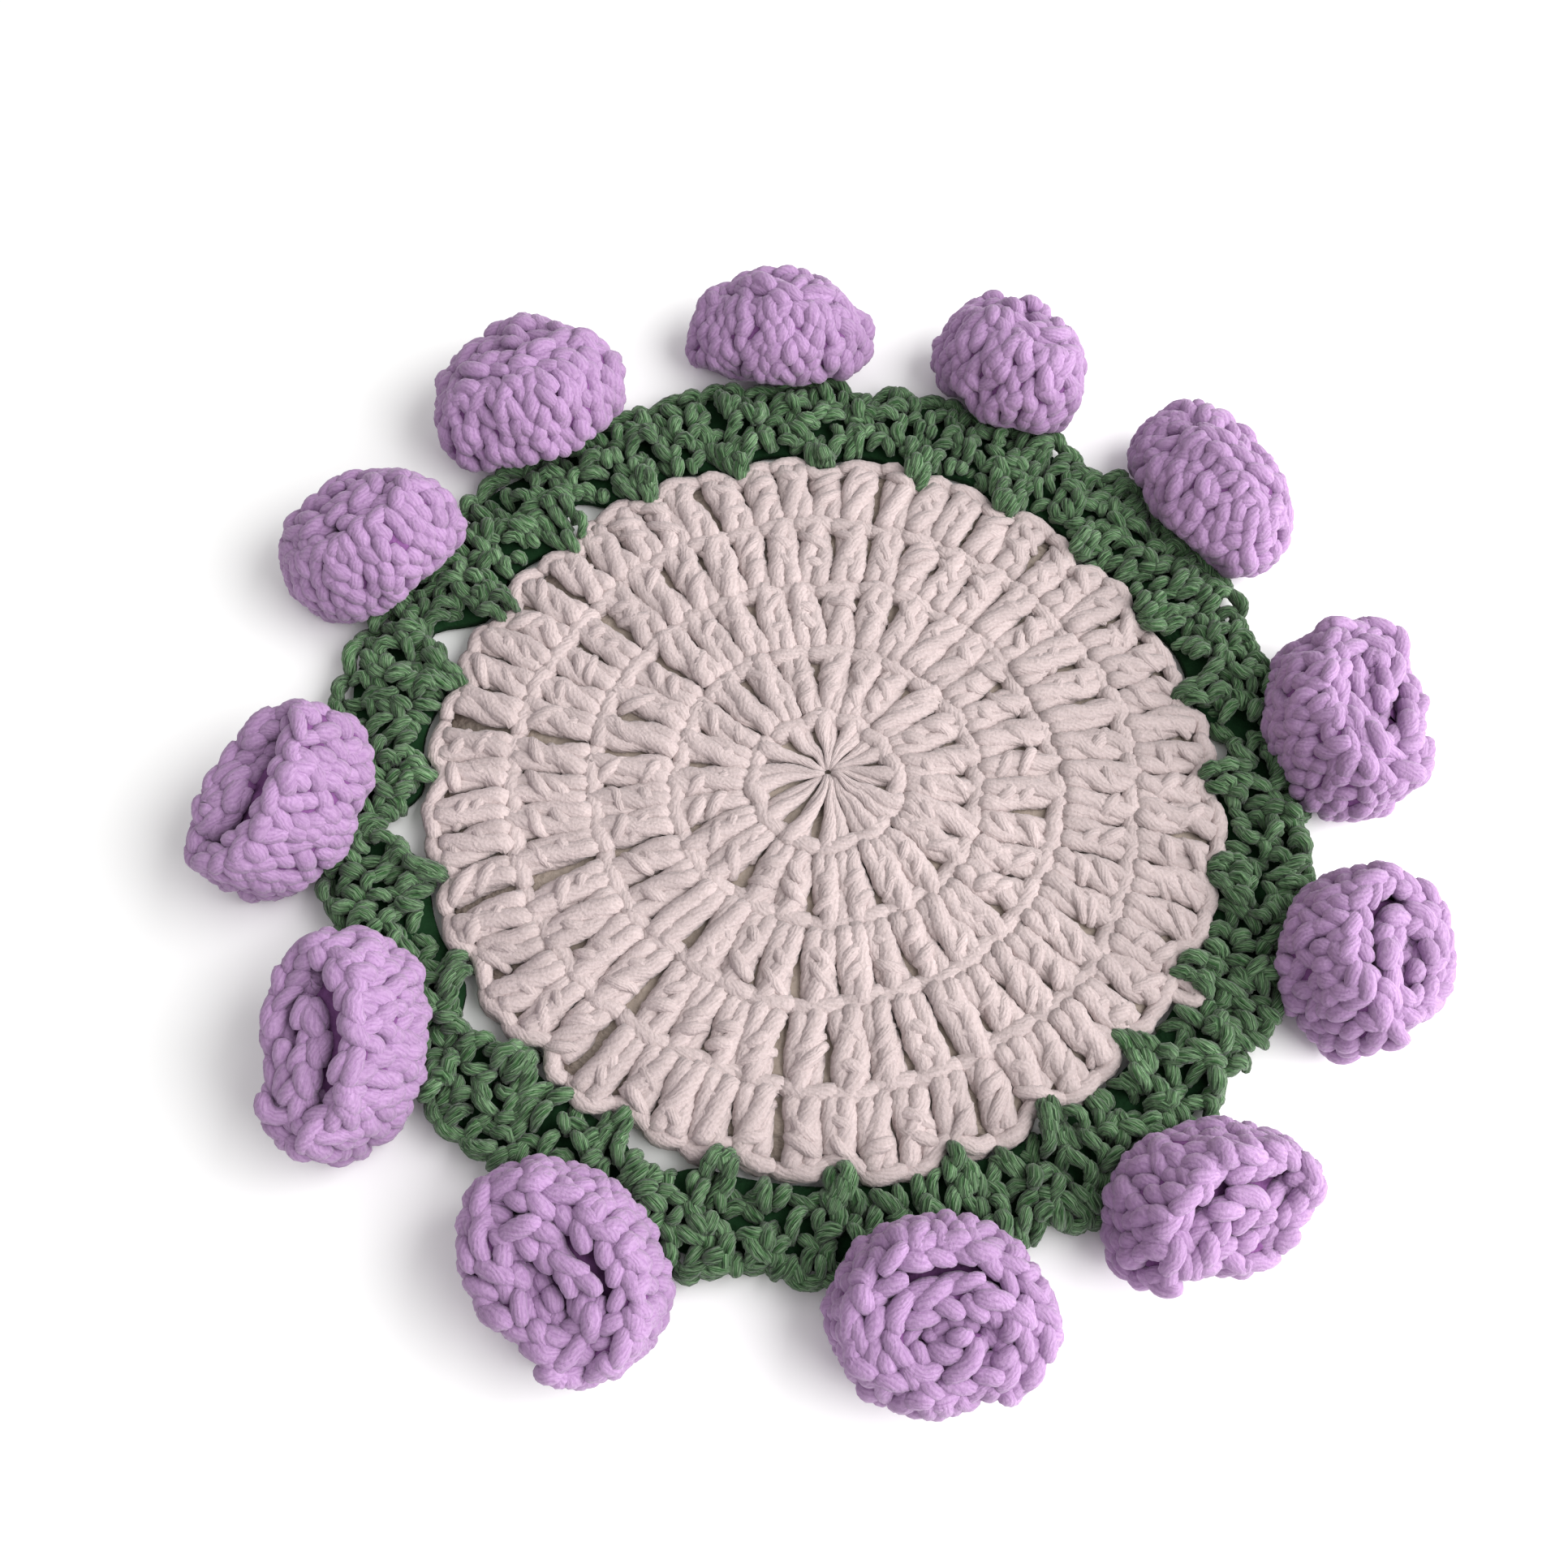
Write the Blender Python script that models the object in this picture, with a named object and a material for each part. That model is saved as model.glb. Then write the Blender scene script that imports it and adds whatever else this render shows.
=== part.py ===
"""Crochet coaster: a flat round cotton mat, a green crocheted border hooked over its edge,
and twelve rolled rosebuds sewn to the border.

Units are metres, +Z is up. The origin is the centre of the mat's underside, so the coaster
lies on the plane Z = 0. Bearings are degrees round +Z, counted from +X.
"""

import math
from typing import NamedTuple

import bmesh
import bpy
from mathutils import Matrix, Vector

MM = 0.001

# Clearance between pieces that touch in the real coaster.
GAP = 0.3 * MM

# The mat.
DISC_RADIUS = 52.6 * MM
DISC_THICKNESS = 4.0 * MM
DISC_EDGE_ROUND = 1.0 * MM

# The border's feet, and the notches that they pull into the mat's edge.
FOOT_COUNT = 24
FIRST_FOOT_BEARING = 7.5
NOTCH_DEPTH = 2.8 * MM
NOTCH_HALF_ANGLE = 3.4
FOOT_HALF_ANGLE = 3.9

# The border's band.
BAND_INNER_RADIUS = 56.6 * MM
BAND_OUTER_RADIUS = 65.8 * MM
SHELL_SWELL = 0.8 * MM
BORDER_THICKNESS = 4.6 * MM
BORDER_EDGE_ROUND = 1.0 * MM

# Outline points for each foot and the space beside it, as shares of the pitch from foot to foot.
OUTLINE_SHARES = (0.0, 0.12, 0.25, 0.38, 0.5, 0.62, 0.75, 0.88)

# The rosebuds' winding, the same in all of them.
TURN_POINTS = 16
TURNS = 2.5
WRAP_PITCH = 4.1 * MM
CENTRE_RADIUS = 1.3 * MM
SEAM_STEP = 1.7 * MM
GROOVE_DEPTH = 2.4 * MM
FACE_DOME = 1.6 * MM
CENTRE_DIP = 0.8 * MM
FLAT_SPOT_CUT = 0.5 * MM

# A rosebud's side below its rim: share of the height, and how far it stands out from the rim.
SIDE_LEVELS = ((0.80, 0.9 * MM), (0.50, 1.7 * MM), (0.22, 0.5 * MM), (0.0, -3.4 * MM))


class Bud(NamedTuple):
    """One rosebud: bearing and reach of its middle, its sizes, how far it leans out, its turn
    about its own axis, and the bearing on it where its outer wrap ends. Millimetres, degrees."""

    bearing: float
    reach: float
    width: float
    depth: float
    height: float
    lean: float
    turn: float
    wrap_end: float


# bearing, reach, width, depth, height, lean, turn, wrap_end
BUDS = (
    Bud(102.0, 73.8, 27.0, 20.0, 14.5, 30.0, -20.0, 150.0),
    Bud(74.5, 72.3, 26.5, 19.0, 15.0, 30.0, -30.0, 40.0),
    Bud(46.4, 72.2, 28.6, 18.6, 14.2, 32.0, -9.0, 200.0),
    Bud(14.0, 69.6, 29.5, 22.3, 14.5, 34.0, -8.0, 250.0),
    Bud(346.0, 70.5, 25.4, 22.0, 15.0, 32.0, 10.0, 110.0),
    Bud(315.2, 70.9, 25.8, 18.8, 15.0, 30.0, -11.0, 300.0),
    Bud(287.0, 69.2, 26.0, 23.0, 14.5, 18.0, -6.0, 170.0),
    Bud(252.0, 70.6, 26.2, 21.6, 14.5, 20.0, -20.0, 330.0),
    Bud(221.0, 68.8, 27.6, 18.6, 15.5, 28.0, -40.0, 80.0),
    Bud(192.8, 69.2, 26.0, 17.4, 15.0, 30.0, -45.0, 220.0),
    Bud(160.0, 70.8, 26.2, 20.2, 14.0, 28.0, -50.0, 20.0),
    Bud(132.6, 73.2, 27.4, 24.4, 15.0, 26.0, -35.0, 280.0),
)


def clear_scene():
    """Removes every object, so that only the coaster is left."""
    for item in list(bpy.data.objects):
        bpy.data.objects.remove(item, do_unlink=True)


def yarn_material(name, colour):
    """A Principled material for a crocheted cotton piece."""
    material = bpy.data.materials.new(name)
    material.use_nodes = True
    shader = material.node_tree.nodes["Principled BSDF"]
    shader.inputs["Base Color"].default_value = (*colour, 1.0)
    shader.inputs["Roughness"].default_value = 0.9
    shader.inputs["Metallic"].default_value = 0.0
    return material


def object_from_bmesh(name, shape, material):
    """Turns the bmesh into a named object with outward faces."""
    bmesh.ops.recalc_face_normals(shape, faces=shape.faces)
    mesh = bpy.data.meshes.new(name)
    shape.to_mesh(mesh)
    shape.free()
    mesh.materials.append(material)
    item = bpy.data.objects.new(name, mesh)
    bpy.context.scene.collection.objects.link(item)
    return item


def outline_bearings():
    """The bearings of an outline's points, closest together beside the feet."""
    pitch = 360.0 / FOOT_COUNT
    bearings = []
    for foot in range(FOOT_COUNT):
        for share in OUTLINE_SHARES:
            bearings.append(FIRST_FOOT_BEARING + pitch * (foot + share))
    return bearings


def foot_bump(bearing, half_angle):
    """One at the middle of a foot, falling to nought half_angle away, as a squared cosine."""
    pitch = 360.0 / FOOT_COUNT
    away = (bearing - FIRST_FOOT_BEARING + pitch / 2) % pitch - pitch / 2
    share = min(abs(away) / half_angle, 1.0)
    return math.cos(share * math.pi / 2) ** 2


def disc_edge(bearing):
    """The mat's edge radius: a circle with a notch at each foot."""
    return DISC_RADIUS - NOTCH_DEPTH * foot_bump(bearing, NOTCH_HALF_ANGLE)


def border_inner_edge(bearing):
    """The border's inner radius: arches between feet that reach into the mat's notches."""
    foot_tip = DISC_RADIUS - NOTCH_DEPTH + 2 * GAP
    return BAND_INNER_RADIUS - (BAND_INNER_RADIUS - foot_tip) * foot_bump(bearing, FOOT_HALF_ANGLE)


def border_outer_edge(bearing):
    """The border's outer radius: one shallow shell over each foot."""
    swing = math.radians(FOOT_COUNT * (bearing - FIRST_FOOT_BEARING))
    return BAND_OUTER_RADIUS + SHELL_SWELL * math.cos(swing)


def outline_loop(shape, radius_at, inset, level):
    """Adds one closed loop of vertices at the given height, drawn in by inset."""
    loop = []
    for bearing in outline_bearings():
        angle = math.radians(bearing)
        radius = radius_at(bearing) - inset
        loop.append(shape.verts.new((radius * math.cos(angle), radius * math.sin(angle), level)))
    return loop


def edge_loops(shape, radius_at, thickness, edge_round):
    """Four loops up an edge with its two corners bevelled. A negative bevel draws it outwards."""
    bevel_height = abs(edge_round)
    return [
        outline_loop(shape, radius_at, edge_round, 0.0),
        outline_loop(shape, radius_at, 0.0, bevel_height),
        outline_loop(shape, radius_at, 0.0, thickness - bevel_height),
        outline_loop(shape, radius_at, edge_round, thickness),
    ]


def bridge(shape, first, second):
    """Faces between two loops that have the same number of vertices."""
    count = len(first)
    for index in range(count):
        after = (index + 1) % count
        shape.faces.new((first[index], first[after], second[after], second[index]))


def build_disc(material):
    """The mat: one flat solid with a scalloped, rounded edge."""
    shape = bmesh.new()
    loops = edge_loops(shape, disc_edge, DISC_THICKNESS, DISC_EDGE_ROUND)
    for lower, upper in zip(loops, loops[1:]):
        bridge(shape, lower, upper)
    shape.faces.new(reversed(loops[0]))
    shape.faces.new(loops[-1])
    return object_from_bmesh("disc", shape, material)


def build_border(material):
    """The border: one ring whose feet reach into the mat's notches."""
    shape = bmesh.new()
    inner = edge_loops(shape, border_inner_edge, BORDER_THICKNESS, -BORDER_EDGE_ROUND)
    outer = edge_loops(shape, border_outer_edge, BORDER_THICKNESS, BORDER_EDGE_ROUND)
    section = inner + outer[::-1]
    for lower, upper in zip(section, section[1:] + section[:1]):
        bridge(shape, lower, upper)
    return object_from_bmesh("border", shape, material)


def smooth_step(share):
    """Nought to one with level ends."""
    share = min(max(share, 0.0), 1.0)
    return share * share * (3.0 - 2.0 * share)


def wrap_radii():
    """The radius of the rolled strip's rim at each point of its spiral, centre first. The last
    part of the outer wrap is drawn in to the wrap below it, where the strip's end is sewn down."""
    last = round(TURNS * TURN_POINTS)
    radii = []
    for index in range(last + 1):
        radius = CENTRE_RADIUS + WRAP_PITCH * index / TURN_POINTS
        if index >= TURN_POINTS:
            drawn_in = smooth_step((index - last + TURN_POINTS * 0.6) / (TURN_POINTS * 0.6))
            radius += drawn_in * (radii[index - TURN_POINTS] + SEAM_STEP - radius)
        radii.append(radius)
    return radii


def join_columns(shape, column, after):
    """Faces between two columns of the side, from the top down."""
    for level in range(len(column) - 1):
        shape.faces.new((column[level], column[level + 1], after[level + 1], after[level]))


def close_seam(shape, groove_end, inner, outer):
    """The step at the strip's end: it runs from the wrap below, inner, out to the strip's end."""
    shape.faces.new((inner[0], groove_end, inner[1]))
    shape.faces.new((groove_end, outer[1], inner[1]))
    shape.faces.new((groove_end, outer[0], outer[1]))
    join_columns(shape, outer[1:], inner[1:])


def close_base(shape, rim):
    """A fan under the roll. Its rim starts and ends at the step, at two radii."""
    middle = shape.verts.new((0.0, 0.0, 0.0))
    for vert, after in zip(rim[:-2], rim[1:-1]):
        shape.faces.new((middle, after, vert))
    shape.faces.new((middle, rim[0], rim[-2]))
    shape.faces.new((rim[0], rim[-1], rim[-2]))


def wound_shape(bud):
    """A rolled strip as one closed bmesh, upright on its own base. The rim is one spiral ridge
    with a spiral groove between its turns, and the side has a step where the strip ends."""
    shape = bmesh.new()
    radii = wrap_radii()
    widest = max(radii)
    height = bud.height * MM
    start = math.radians(bud.wrap_end)

    def add(index, radius, level):
        angle = start + 2 * math.pi * (index % TURN_POINTS) / TURN_POINTS
        return shape.verts.new((radius * math.cos(angle), radius * math.sin(angle), level))

    ridge = []
    for index, radius in enumerate(radii):
        level = height - FACE_DOME * (radius / widest) ** 2
        level -= CENTRE_DIP * max(0.0, 1.0 - index / TURN_POINTS)
        ridge.append(add(index, radius, level))
    groove = []
    for index in range(len(radii) - TURN_POINTS):
        radius = (radii[index] + radii[index + TURN_POINTS]) / 2
        closeness = (radii[index + TURN_POINTS] - radii[index]) / WRAP_PITCH
        level = height - GROOVE_DEPTH * closeness**2 - FACE_DOME * (radius / widest) ** 2
        groove.append(add(index, radius, level))

    for index in range(len(groove) - 1):
        further = index + TURN_POINTS
        shape.faces.new((ridge[index], ridge[index + 1], groove[index + 1], groove[index]))
        shape.faces.new((groove[index], groove[index + 1], ridge[further + 1], ridge[further]))
    centre = shape.verts.new((0.0, 0.0, height - CENTRE_DIP / 2))
    for index in range(TURN_POINTS):
        shape.faces.new((centre, ridge[index], ridge[index + 1]))
    shape.faces.new((centre, ridge[TURN_POINTS], ridge[0]))
    shape.faces.new((ridge[0], ridge[TURN_POINTS], groove[0]))

    first = len(radii) - 1 - TURN_POINTS
    columns = []
    for index in range(first, len(radii)):
        column = [ridge[index]]
        for share, stand_out in SIDE_LEVELS:
            column.append(add(index, radii[index] + stand_out, share * height))
        columns.append(column)
    for column, after in zip(columns, columns[1:]):
        join_columns(shape, column, after)
    close_seam(shape, groove[-1], inner=columns[0], outer=columns[-1])
    close_base(shape, [column[-1] for column in columns])
    return shape


def extent(shape, axis):
    """How far the shape reaches along one of its axes."""
    places = [vert.co[axis] for vert in shape.verts]
    return max(places) - min(places)


def place_bud(bud, shape):
    """Sizes the upright shape, turns it and leans it outwards from the mat, and moves it so that
    its middle is at its reach and its lowest part is just under Z = 0."""
    wider = bud.width * MM / extent(shape, 0)
    deeper = bud.depth * MM / extent(shape, 1)
    sizing = Matrix.Diagonal((wider, deeper, 1.0, 1.0))
    centring = Matrix.Translation((0.0, 0.0, -bud.height * MM / 2))
    turning = Matrix.Rotation(math.radians(bud.turn), 4, "Z")
    leaning = Matrix.Rotation(-math.radians(bud.lean), 4, "X")
    shape.transform(leaning @ turning @ centring @ sizing)
    lowest = min(vert.co.z for vert in shape.verts)
    outwards = Matrix.Translation((0.0, bud.reach * MM, -lowest - FLAT_SPOT_CUT))
    facing = Matrix.Rotation(math.radians(bud.bearing - 90.0), 4, "Z")
    shape.transform(facing @ outwards)


def cut_flat_spot(shape):
    """Cuts off what is under Z = 0 and closes the cut with one flat face."""
    everything = shape.verts[:] + shape.edges[:] + shape.faces[:]
    cut = bmesh.ops.bisect_plane(
        shape, geom=everything, plane_co=Vector((0, 0, 0)), plane_no=Vector((0, 0, 1)), clear_inner=True
    )
    rim = [part for part in cut["geom_cut"] if isinstance(part, bmesh.types.BMEdge)]
    bmesh.ops.edgeloop_fill(shape, edges=rim)


def build_seat_cutter():
    """The room that the border takes under the rosebuds, with its clearance."""
    shape = bmesh.new()
    radius = BAND_OUTER_RADIUS + SHELL_SWELL + GAP
    top = BORDER_THICKNESS + GAP
    below = 5 * MM
    bmesh.ops.create_cone(
        shape,
        cap_ends=True,
        segments=96,
        radius1=radius,
        radius2=radius,
        depth=top + below,
        matrix=Matrix.Translation((0.0, 0.0, (top - below) / 2)),
    )
    cutter = object_from_bmesh("seat_cutter", shape, yarn_material("cutter", (0.5, 0.5, 0.5)))
    cutter.hide_render = True
    cutter.display_type = "WIRE"
    return cutter


def build_bud(number, bud, material, seat_cutter):
    """One rosebud, resting on the table with its inner side over the border."""
    shape = wound_shape(bud)
    place_bud(bud, shape)
    cut_flat_spot(shape)
    item = object_from_bmesh(f"bud_{number:02d}", shape, material)
    seat = item.modifiers.new("seat", "BOOLEAN")
    seat.operation = "DIFFERENCE"
    seat.solver = "EXACT"
    seat.object = seat_cutter
    return item


def main():
    """Builds the mat, the border and the rosebuds."""
    clear_scene()
    cream = yarn_material("cream_cotton", (0.69, 0.59, 0.56))
    green = yarn_material("green_cotton", (0.05, 0.14, 0.06))
    lilac = yarn_material("lilac_cotton", (0.48, 0.27, 0.58))
    build_disc(cream)
    build_border(green)
    seat_cutter = build_seat_cutter()
    for number, bud in enumerate(BUDS, start=1):
        build_bud(number, bud, lilac, seat_cutter)


main()
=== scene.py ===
"""A crochet coaster, worked strand by strand.

The mat is five rounds of tall stitches, each post a bundle of yarn strands wound round each other,
with a chain of loops along the round's edge. A green border hooks its feet over the mat's edge, and
twelve rosebuds, each a crocheted strip rolled up, stand round the border. Every strand is a tube
carried along a path that is worked out with whole arrays. Lengths are metres, heights are +Z.
"""
import logging
import math
from dataclasses import dataclass
from enum import Enum
from typing import Any, NamedTuple, Sequence

import bpy
import numpy as np
from mathutils import Matrix, Vector


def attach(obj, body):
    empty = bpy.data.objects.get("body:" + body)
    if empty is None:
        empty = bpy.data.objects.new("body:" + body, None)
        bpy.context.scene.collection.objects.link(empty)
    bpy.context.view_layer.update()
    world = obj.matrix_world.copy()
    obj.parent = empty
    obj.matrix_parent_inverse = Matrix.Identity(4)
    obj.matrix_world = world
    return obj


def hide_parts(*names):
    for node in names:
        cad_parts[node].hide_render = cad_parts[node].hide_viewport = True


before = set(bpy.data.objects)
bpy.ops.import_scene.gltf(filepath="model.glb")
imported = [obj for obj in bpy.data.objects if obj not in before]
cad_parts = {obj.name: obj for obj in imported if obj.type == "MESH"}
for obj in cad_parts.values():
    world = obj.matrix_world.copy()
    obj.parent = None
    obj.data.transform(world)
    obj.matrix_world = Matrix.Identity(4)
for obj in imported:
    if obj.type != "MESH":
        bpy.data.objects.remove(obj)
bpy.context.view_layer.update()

MM = 0.001
TURN = 2.0 * math.pi
BODY = "root"
HAND_SEED = 7

log = logging.getLogger("coaster")
Array = np.ndarray


class Slot(Enum):
    """The record's material slots."""

    CREAM = "cream_cotton"
    GREEN = "green_cotton"
    LILAC = "lilac_cotton"


# ---------------------------------------------------------------------------------------------
# Small helpers on whole arrays
# ---------------------------------------------------------------------------------------------


def smooth_step(share: Array) -> Array:
    """Nought to one with level ends: 3s² - 2s³, with s held between nought and one."""
    held = np.clip(share, 0.0, 1.0)
    return held * held * (3.0 - 2.0 * held)


def unit(vectors: Array) -> Array:
    """The vectors along the last axis, each divided by its length."""
    return vectors / np.maximum(np.linalg.norm(vectors, axis=-1, keepdims=True), 1e-12)


def shares(points: int) -> Array:
    """Evenly spaced shares of a strand's length, from nought to one."""
    return np.linspace(0.0, 1.0, points)


@dataclass(frozen=True)
class Wander:
    """A slow unevenness of handwork: every point shifts by a sum of waves through space, so that
    neighbouring strands shift together. The waves are this length divided by the paces, and their
    sum reaches about the amount times the gain."""

    amount: float
    length: float
    seed: int
    waves: int = 7
    paces: tuple[float, float] = (0.6, 1.6)
    gain: float = 1.4

    def moved(self, points: Array) -> Array:
        """Shifts each point by the waves' sum: amount times sin(2π p·d/length + phase), where d is
        the way that a wave runs.

        Args:
            points: Points, (..., 3).

        Returns:
            The shifted points.
        """
        rng = np.random.default_rng(self.seed)
        along = unit(rng.normal(size=(self.waves, 3)))
        along = along * (TURN / self.length) * rng.uniform(*self.paces, (self.waves, 1))
        push = unit(rng.normal(size=(self.waves, 3))) * self.amount * self.gain / math.sqrt(self.waves)
        return points + np.sin(points @ along.T + rng.uniform(0.0, TURN, self.waves)) @ push


# ---------------------------------------------------------------------------------------------
# Yarn: strands as tubes
# ---------------------------------------------------------------------------------------------


@dataclass(frozen=True)
class Yarn:
    """A soft cotton yarn: the length in which its plies turn once round, the sides that its strand is
    drawn with, its thickness as a share of its width where it is pressed flat, and how far a strand's
    rounded tip stands out as a share of its radius."""

    lay: float = 17.0 * MM
    sides: int = 10
    flatness: float = 1.0
    tip: float = 0.4


class TubeMesh:
    """Gathers rings of points into closed tubes, and makes one mesh object of them."""

    def __init__(self, name: str) -> None:
        """Starts an empty mesh.

        Args:
            name: The name that the mesh and its object will have.
        """
        self.name = name
        self.points: list[Array] = []
        self.quads: list[Array] = []
        self.triangles: list[Array] = []
        self.quad_uvs: list[Array] = []
        self.triangle_uvs: list[Array] = []
        self.tones: list[Array] = []
        self.count = 0

    def add_rings(self, rings: Array, lengths: Array, tones: Array, ends: Array | None) -> None:
        """Adds tubes whose rings are given.

        The quad between ring i and i+1 and side j and j+1 has corners (i,j), (i,j+1), (i+1,j+1),
        (i+1,j), so it faces out where the sides turn anticlockwise about the way along.

        Args:
            rings: (tubes, rings, sides, 3).
            lengths: Length along the tube at each ring, (tubes, rings), in metres.
            tones: One random number for each tube.
            ends: The two end points of each tube, (tubes, 2, 3), or None where each tube's last
                ring joins its first.
        """
        closed = ends is None
        tubes, count, sides, _ = rings.shape
        index = self.count + np.arange(tubes * count * sides).reshape(tubes, count, sides)
        if closed:
            index = np.concatenate([index, index[:, :1]], axis=1)
            step = lengths[:, -1:] - lengths[:, -2:-1]
            lengths = np.concatenate([lengths, lengths[:, -1:] + step], axis=1)
        beside = np.roll(index, -1, axis=2)
        quads = np.stack([index[:, :-1], beside[:, :-1], beside[:, 1:], index[:, 1:]], axis=-1)
        self.points.append(rings.reshape(-1, 3))
        self.tones.append(np.repeat(tones, count * sides))
        self.quads.append(quads.reshape(-1, 4))
        along = np.broadcast_to((lengths / MM)[:, :, None], index.shape)
        around = np.broadcast_to(np.arange(sides) / sides, index.shape)
        nearer = np.stack([along, around], axis=-1)
        further = np.stack([along, around + 1.0 / sides], axis=-1)
        uvs = np.stack([nearer[:, :-1], further[:, :-1], further[:, 1:], nearer[:, 1:]], axis=-2)
        self.quad_uvs.append(uvs.reshape(-1, 4, 2))
        self.count += tubes * count * sides
        if closed:
            return
        tips = self.count + np.arange(tubes * 2).reshape(tubes, 2, 1)
        tips = np.broadcast_to(tips, (tubes, 2, sides))
        first = np.stack([tips[:, 0], beside[:, 0], index[:, 0]], axis=-1)
        last = np.stack([tips[:, 1], index[:, -1], beside[:, -1]], axis=-1)
        self.points.append(ends.reshape(-1, 3))
        self.tones.append(np.repeat(tones, 2))
        self.triangles += [first.reshape(-1, 3), last.reshape(-1, 3)]
        flat = [nearer[:, 0], further[:, 0], nearer[:, -1], further[:, -1]]
        first_uv = np.stack([flat[0], flat[1], flat[0]], axis=-2)
        last_uv = np.stack([flat[2], flat[2], flat[3]], axis=-2)
        self.triangle_uvs += [first_uv.reshape(-1, 3, 2), last_uv.reshape(-1, 3, 2)]
        self.count += tubes * 2

    def add_strands(
        self,
        paths: Array,
        radii: Array | float,
        facing: Array,
        yarn: Yarn,
        rng: np.random.Generator,
    ) -> None:
        """Adds a tube for each path.

        A ring stands square to the path: its point at angle a is path + r(f·cos a · side + sin a · up),
        with f the yarn's flatness. The angle also turns once for each lay of yarn, so that the plies
        run round the strand. The side is the facing less its part along the path.

        Args:
            paths: Points, (..., points, 3).
            radii: Radii that broadcast to the paths without their last axis.
            facing: Directions that broadcast to the paths.
            yarn: The yarn, for its sides, its lay and its flatness.
            rng: Where each strand's tone and ply phase come from.
        """
        count = paths.shape[-2]
        radii = np.broadcast_to(radii, paths.shape[:-1]).reshape(-1, count)
        facing = np.broadcast_to(facing, paths.shape).reshape(-1, count, 3)
        paths = paths.reshape(-1, count, 3)
        ahead = unit(np.gradient(paths, axis=1))
        side = unit(facing - (facing * ahead).sum(-1, keepdims=True) * ahead)
        up = np.cross(ahead, side)
        steps = np.linalg.norm(np.diff(paths, axis=1), axis=-1)
        lengths = np.concatenate([np.zeros((len(paths), 1)), np.cumsum(steps, axis=1)], axis=1)
        turned = TURN * lengths / yarn.lay + rng.uniform(0.0, TURN, (len(paths), 1))
        angle = turned[:, :, None] + TURN * np.arange(yarn.sides) / yarn.sides
        rings = paths[:, :, None] + radii[:, :, None, None] * (
            yarn.flatness * np.cos(angle)[..., None] * side[:, :, None]
            + np.sin(angle)[..., None] * up[:, :, None]
        )
        tip = yarn.tip * radii[..., None] * ahead
        ends = np.stack([paths[:, 0] - tip[:, 0], paths[:, -1] + tip[:, -1]], axis=1)
        tones = rng.uniform(0.0, 1.0, len(paths))
        self.add_rings(rings, lengths, tones, ends)

    def to_object(self) -> bpy.types.Object:
        """Makes the smooth-shaded mesh, with its yarn UVs (millimetres along, share of the way round)
        and its strand tones.

        Returns:
            The object, linked to the scene.
        """
        quads = np.concatenate(self.quads)
        triangles = np.concatenate(self.triangles) if self.triangles else np.empty((0, 3), int)
        corners = np.concatenate([quads.ravel(), triangles.ravel()])
        starts = np.concatenate(
            [np.arange(len(quads)) * 4, quads.size + np.arange(len(triangles)) * 3]
        )
        mesh = bpy.data.meshes.new(self.name)
        mesh.vertices.add(self.count)
        mesh.vertices.foreach_set("co", np.concatenate(self.points).astype(np.float32).ravel())
        mesh.loops.add(len(corners))
        mesh.loops.foreach_set("vertex_index", corners.astype(np.int32))
        mesh.polygons.add(len(starts))
        mesh.polygons.foreach_set("loop_start", starts.astype(np.int32))
        mesh.update(calc_edges=True)
        mesh.shade_smooth()
        uvs = [part.ravel() for part in self.quad_uvs + self.triangle_uvs]
        layer = mesh.uv_layers.new(name="yarn")
        layer.uv.foreach_set("vector", np.concatenate(uvs).astype(np.float32))
        tone = mesh.attributes.new("tone", "FLOAT", "POINT")
        tone.data.foreach_set("value", np.concatenate(self.tones).astype(np.float32))
        made = bpy.data.objects.new(self.name, mesh)
        bpy.context.scene.collection.objects.link(made)
        return made


def strand_object(
    name: str,
    paths: Array,
    radii: Array | float,
    facing: Array,
    yarn: Yarn,
    rng: np.random.Generator,
) -> bpy.types.Object:
    """Makes one mesh object of strands that follow the paths.

    Args:
        name: The object's name.
        paths: Points, (..., points, 3).
        radii: Radii that broadcast to the paths without their last axis.
        facing: Directions that broadcast to the paths.
        yarn: The strands' yarn.
        rng: Where each strand's tone and ply phase come from.

    Returns:
        The strands' object.
    """
    tube = TubeMesh(name)
    tube.add_strands(paths, radii, facing, yarn, rng)
    return tube.to_object()


def cloth_object(
    name: str, rings: Array, lengths: Array, ends: Array | None = None
) -> bpy.types.Object:
    """Makes one plain closed mesh object of a section carried along.

    Args:
        name: The object's name.
        rings: The section at each place, (rings, sides, 3).
        lengths: Length along at each ring, (rings,).
        ends: The two end points, (2, 3), or None where the last ring joins the first.

    Returns:
        The cloth's object.
    """
    tube = TubeMesh(name)
    tube.add_rings(rings[None], lengths[None], np.full(1, 0.5), None if ends is None else ends[None])
    return tube.to_object()


# ---------------------------------------------------------------------------------------------
# Finishes
# ---------------------------------------------------------------------------------------------


def linear(code: str) -> tuple[float, float, float, float]:
    """Turns an sRGB hex code into linear light: v / 12.92 up to 0.04045, else ((v + 0.055) / 1.055)
    to the power of 2.4.

    Args:
        code: The colour, such as #D9C9C6.

    Returns:
        Linear red, green, blue, and an alpha of one.
    """
    parts = [int(code[at : at + 2], 16) / 255.0 for at in (1, 3, 5)]
    straight = [p / 12.92 if p <= 0.04045 else ((p + 0.055) / 1.055) ** 2.4 for p in parts]
    return (*straight, 1.0)


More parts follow.
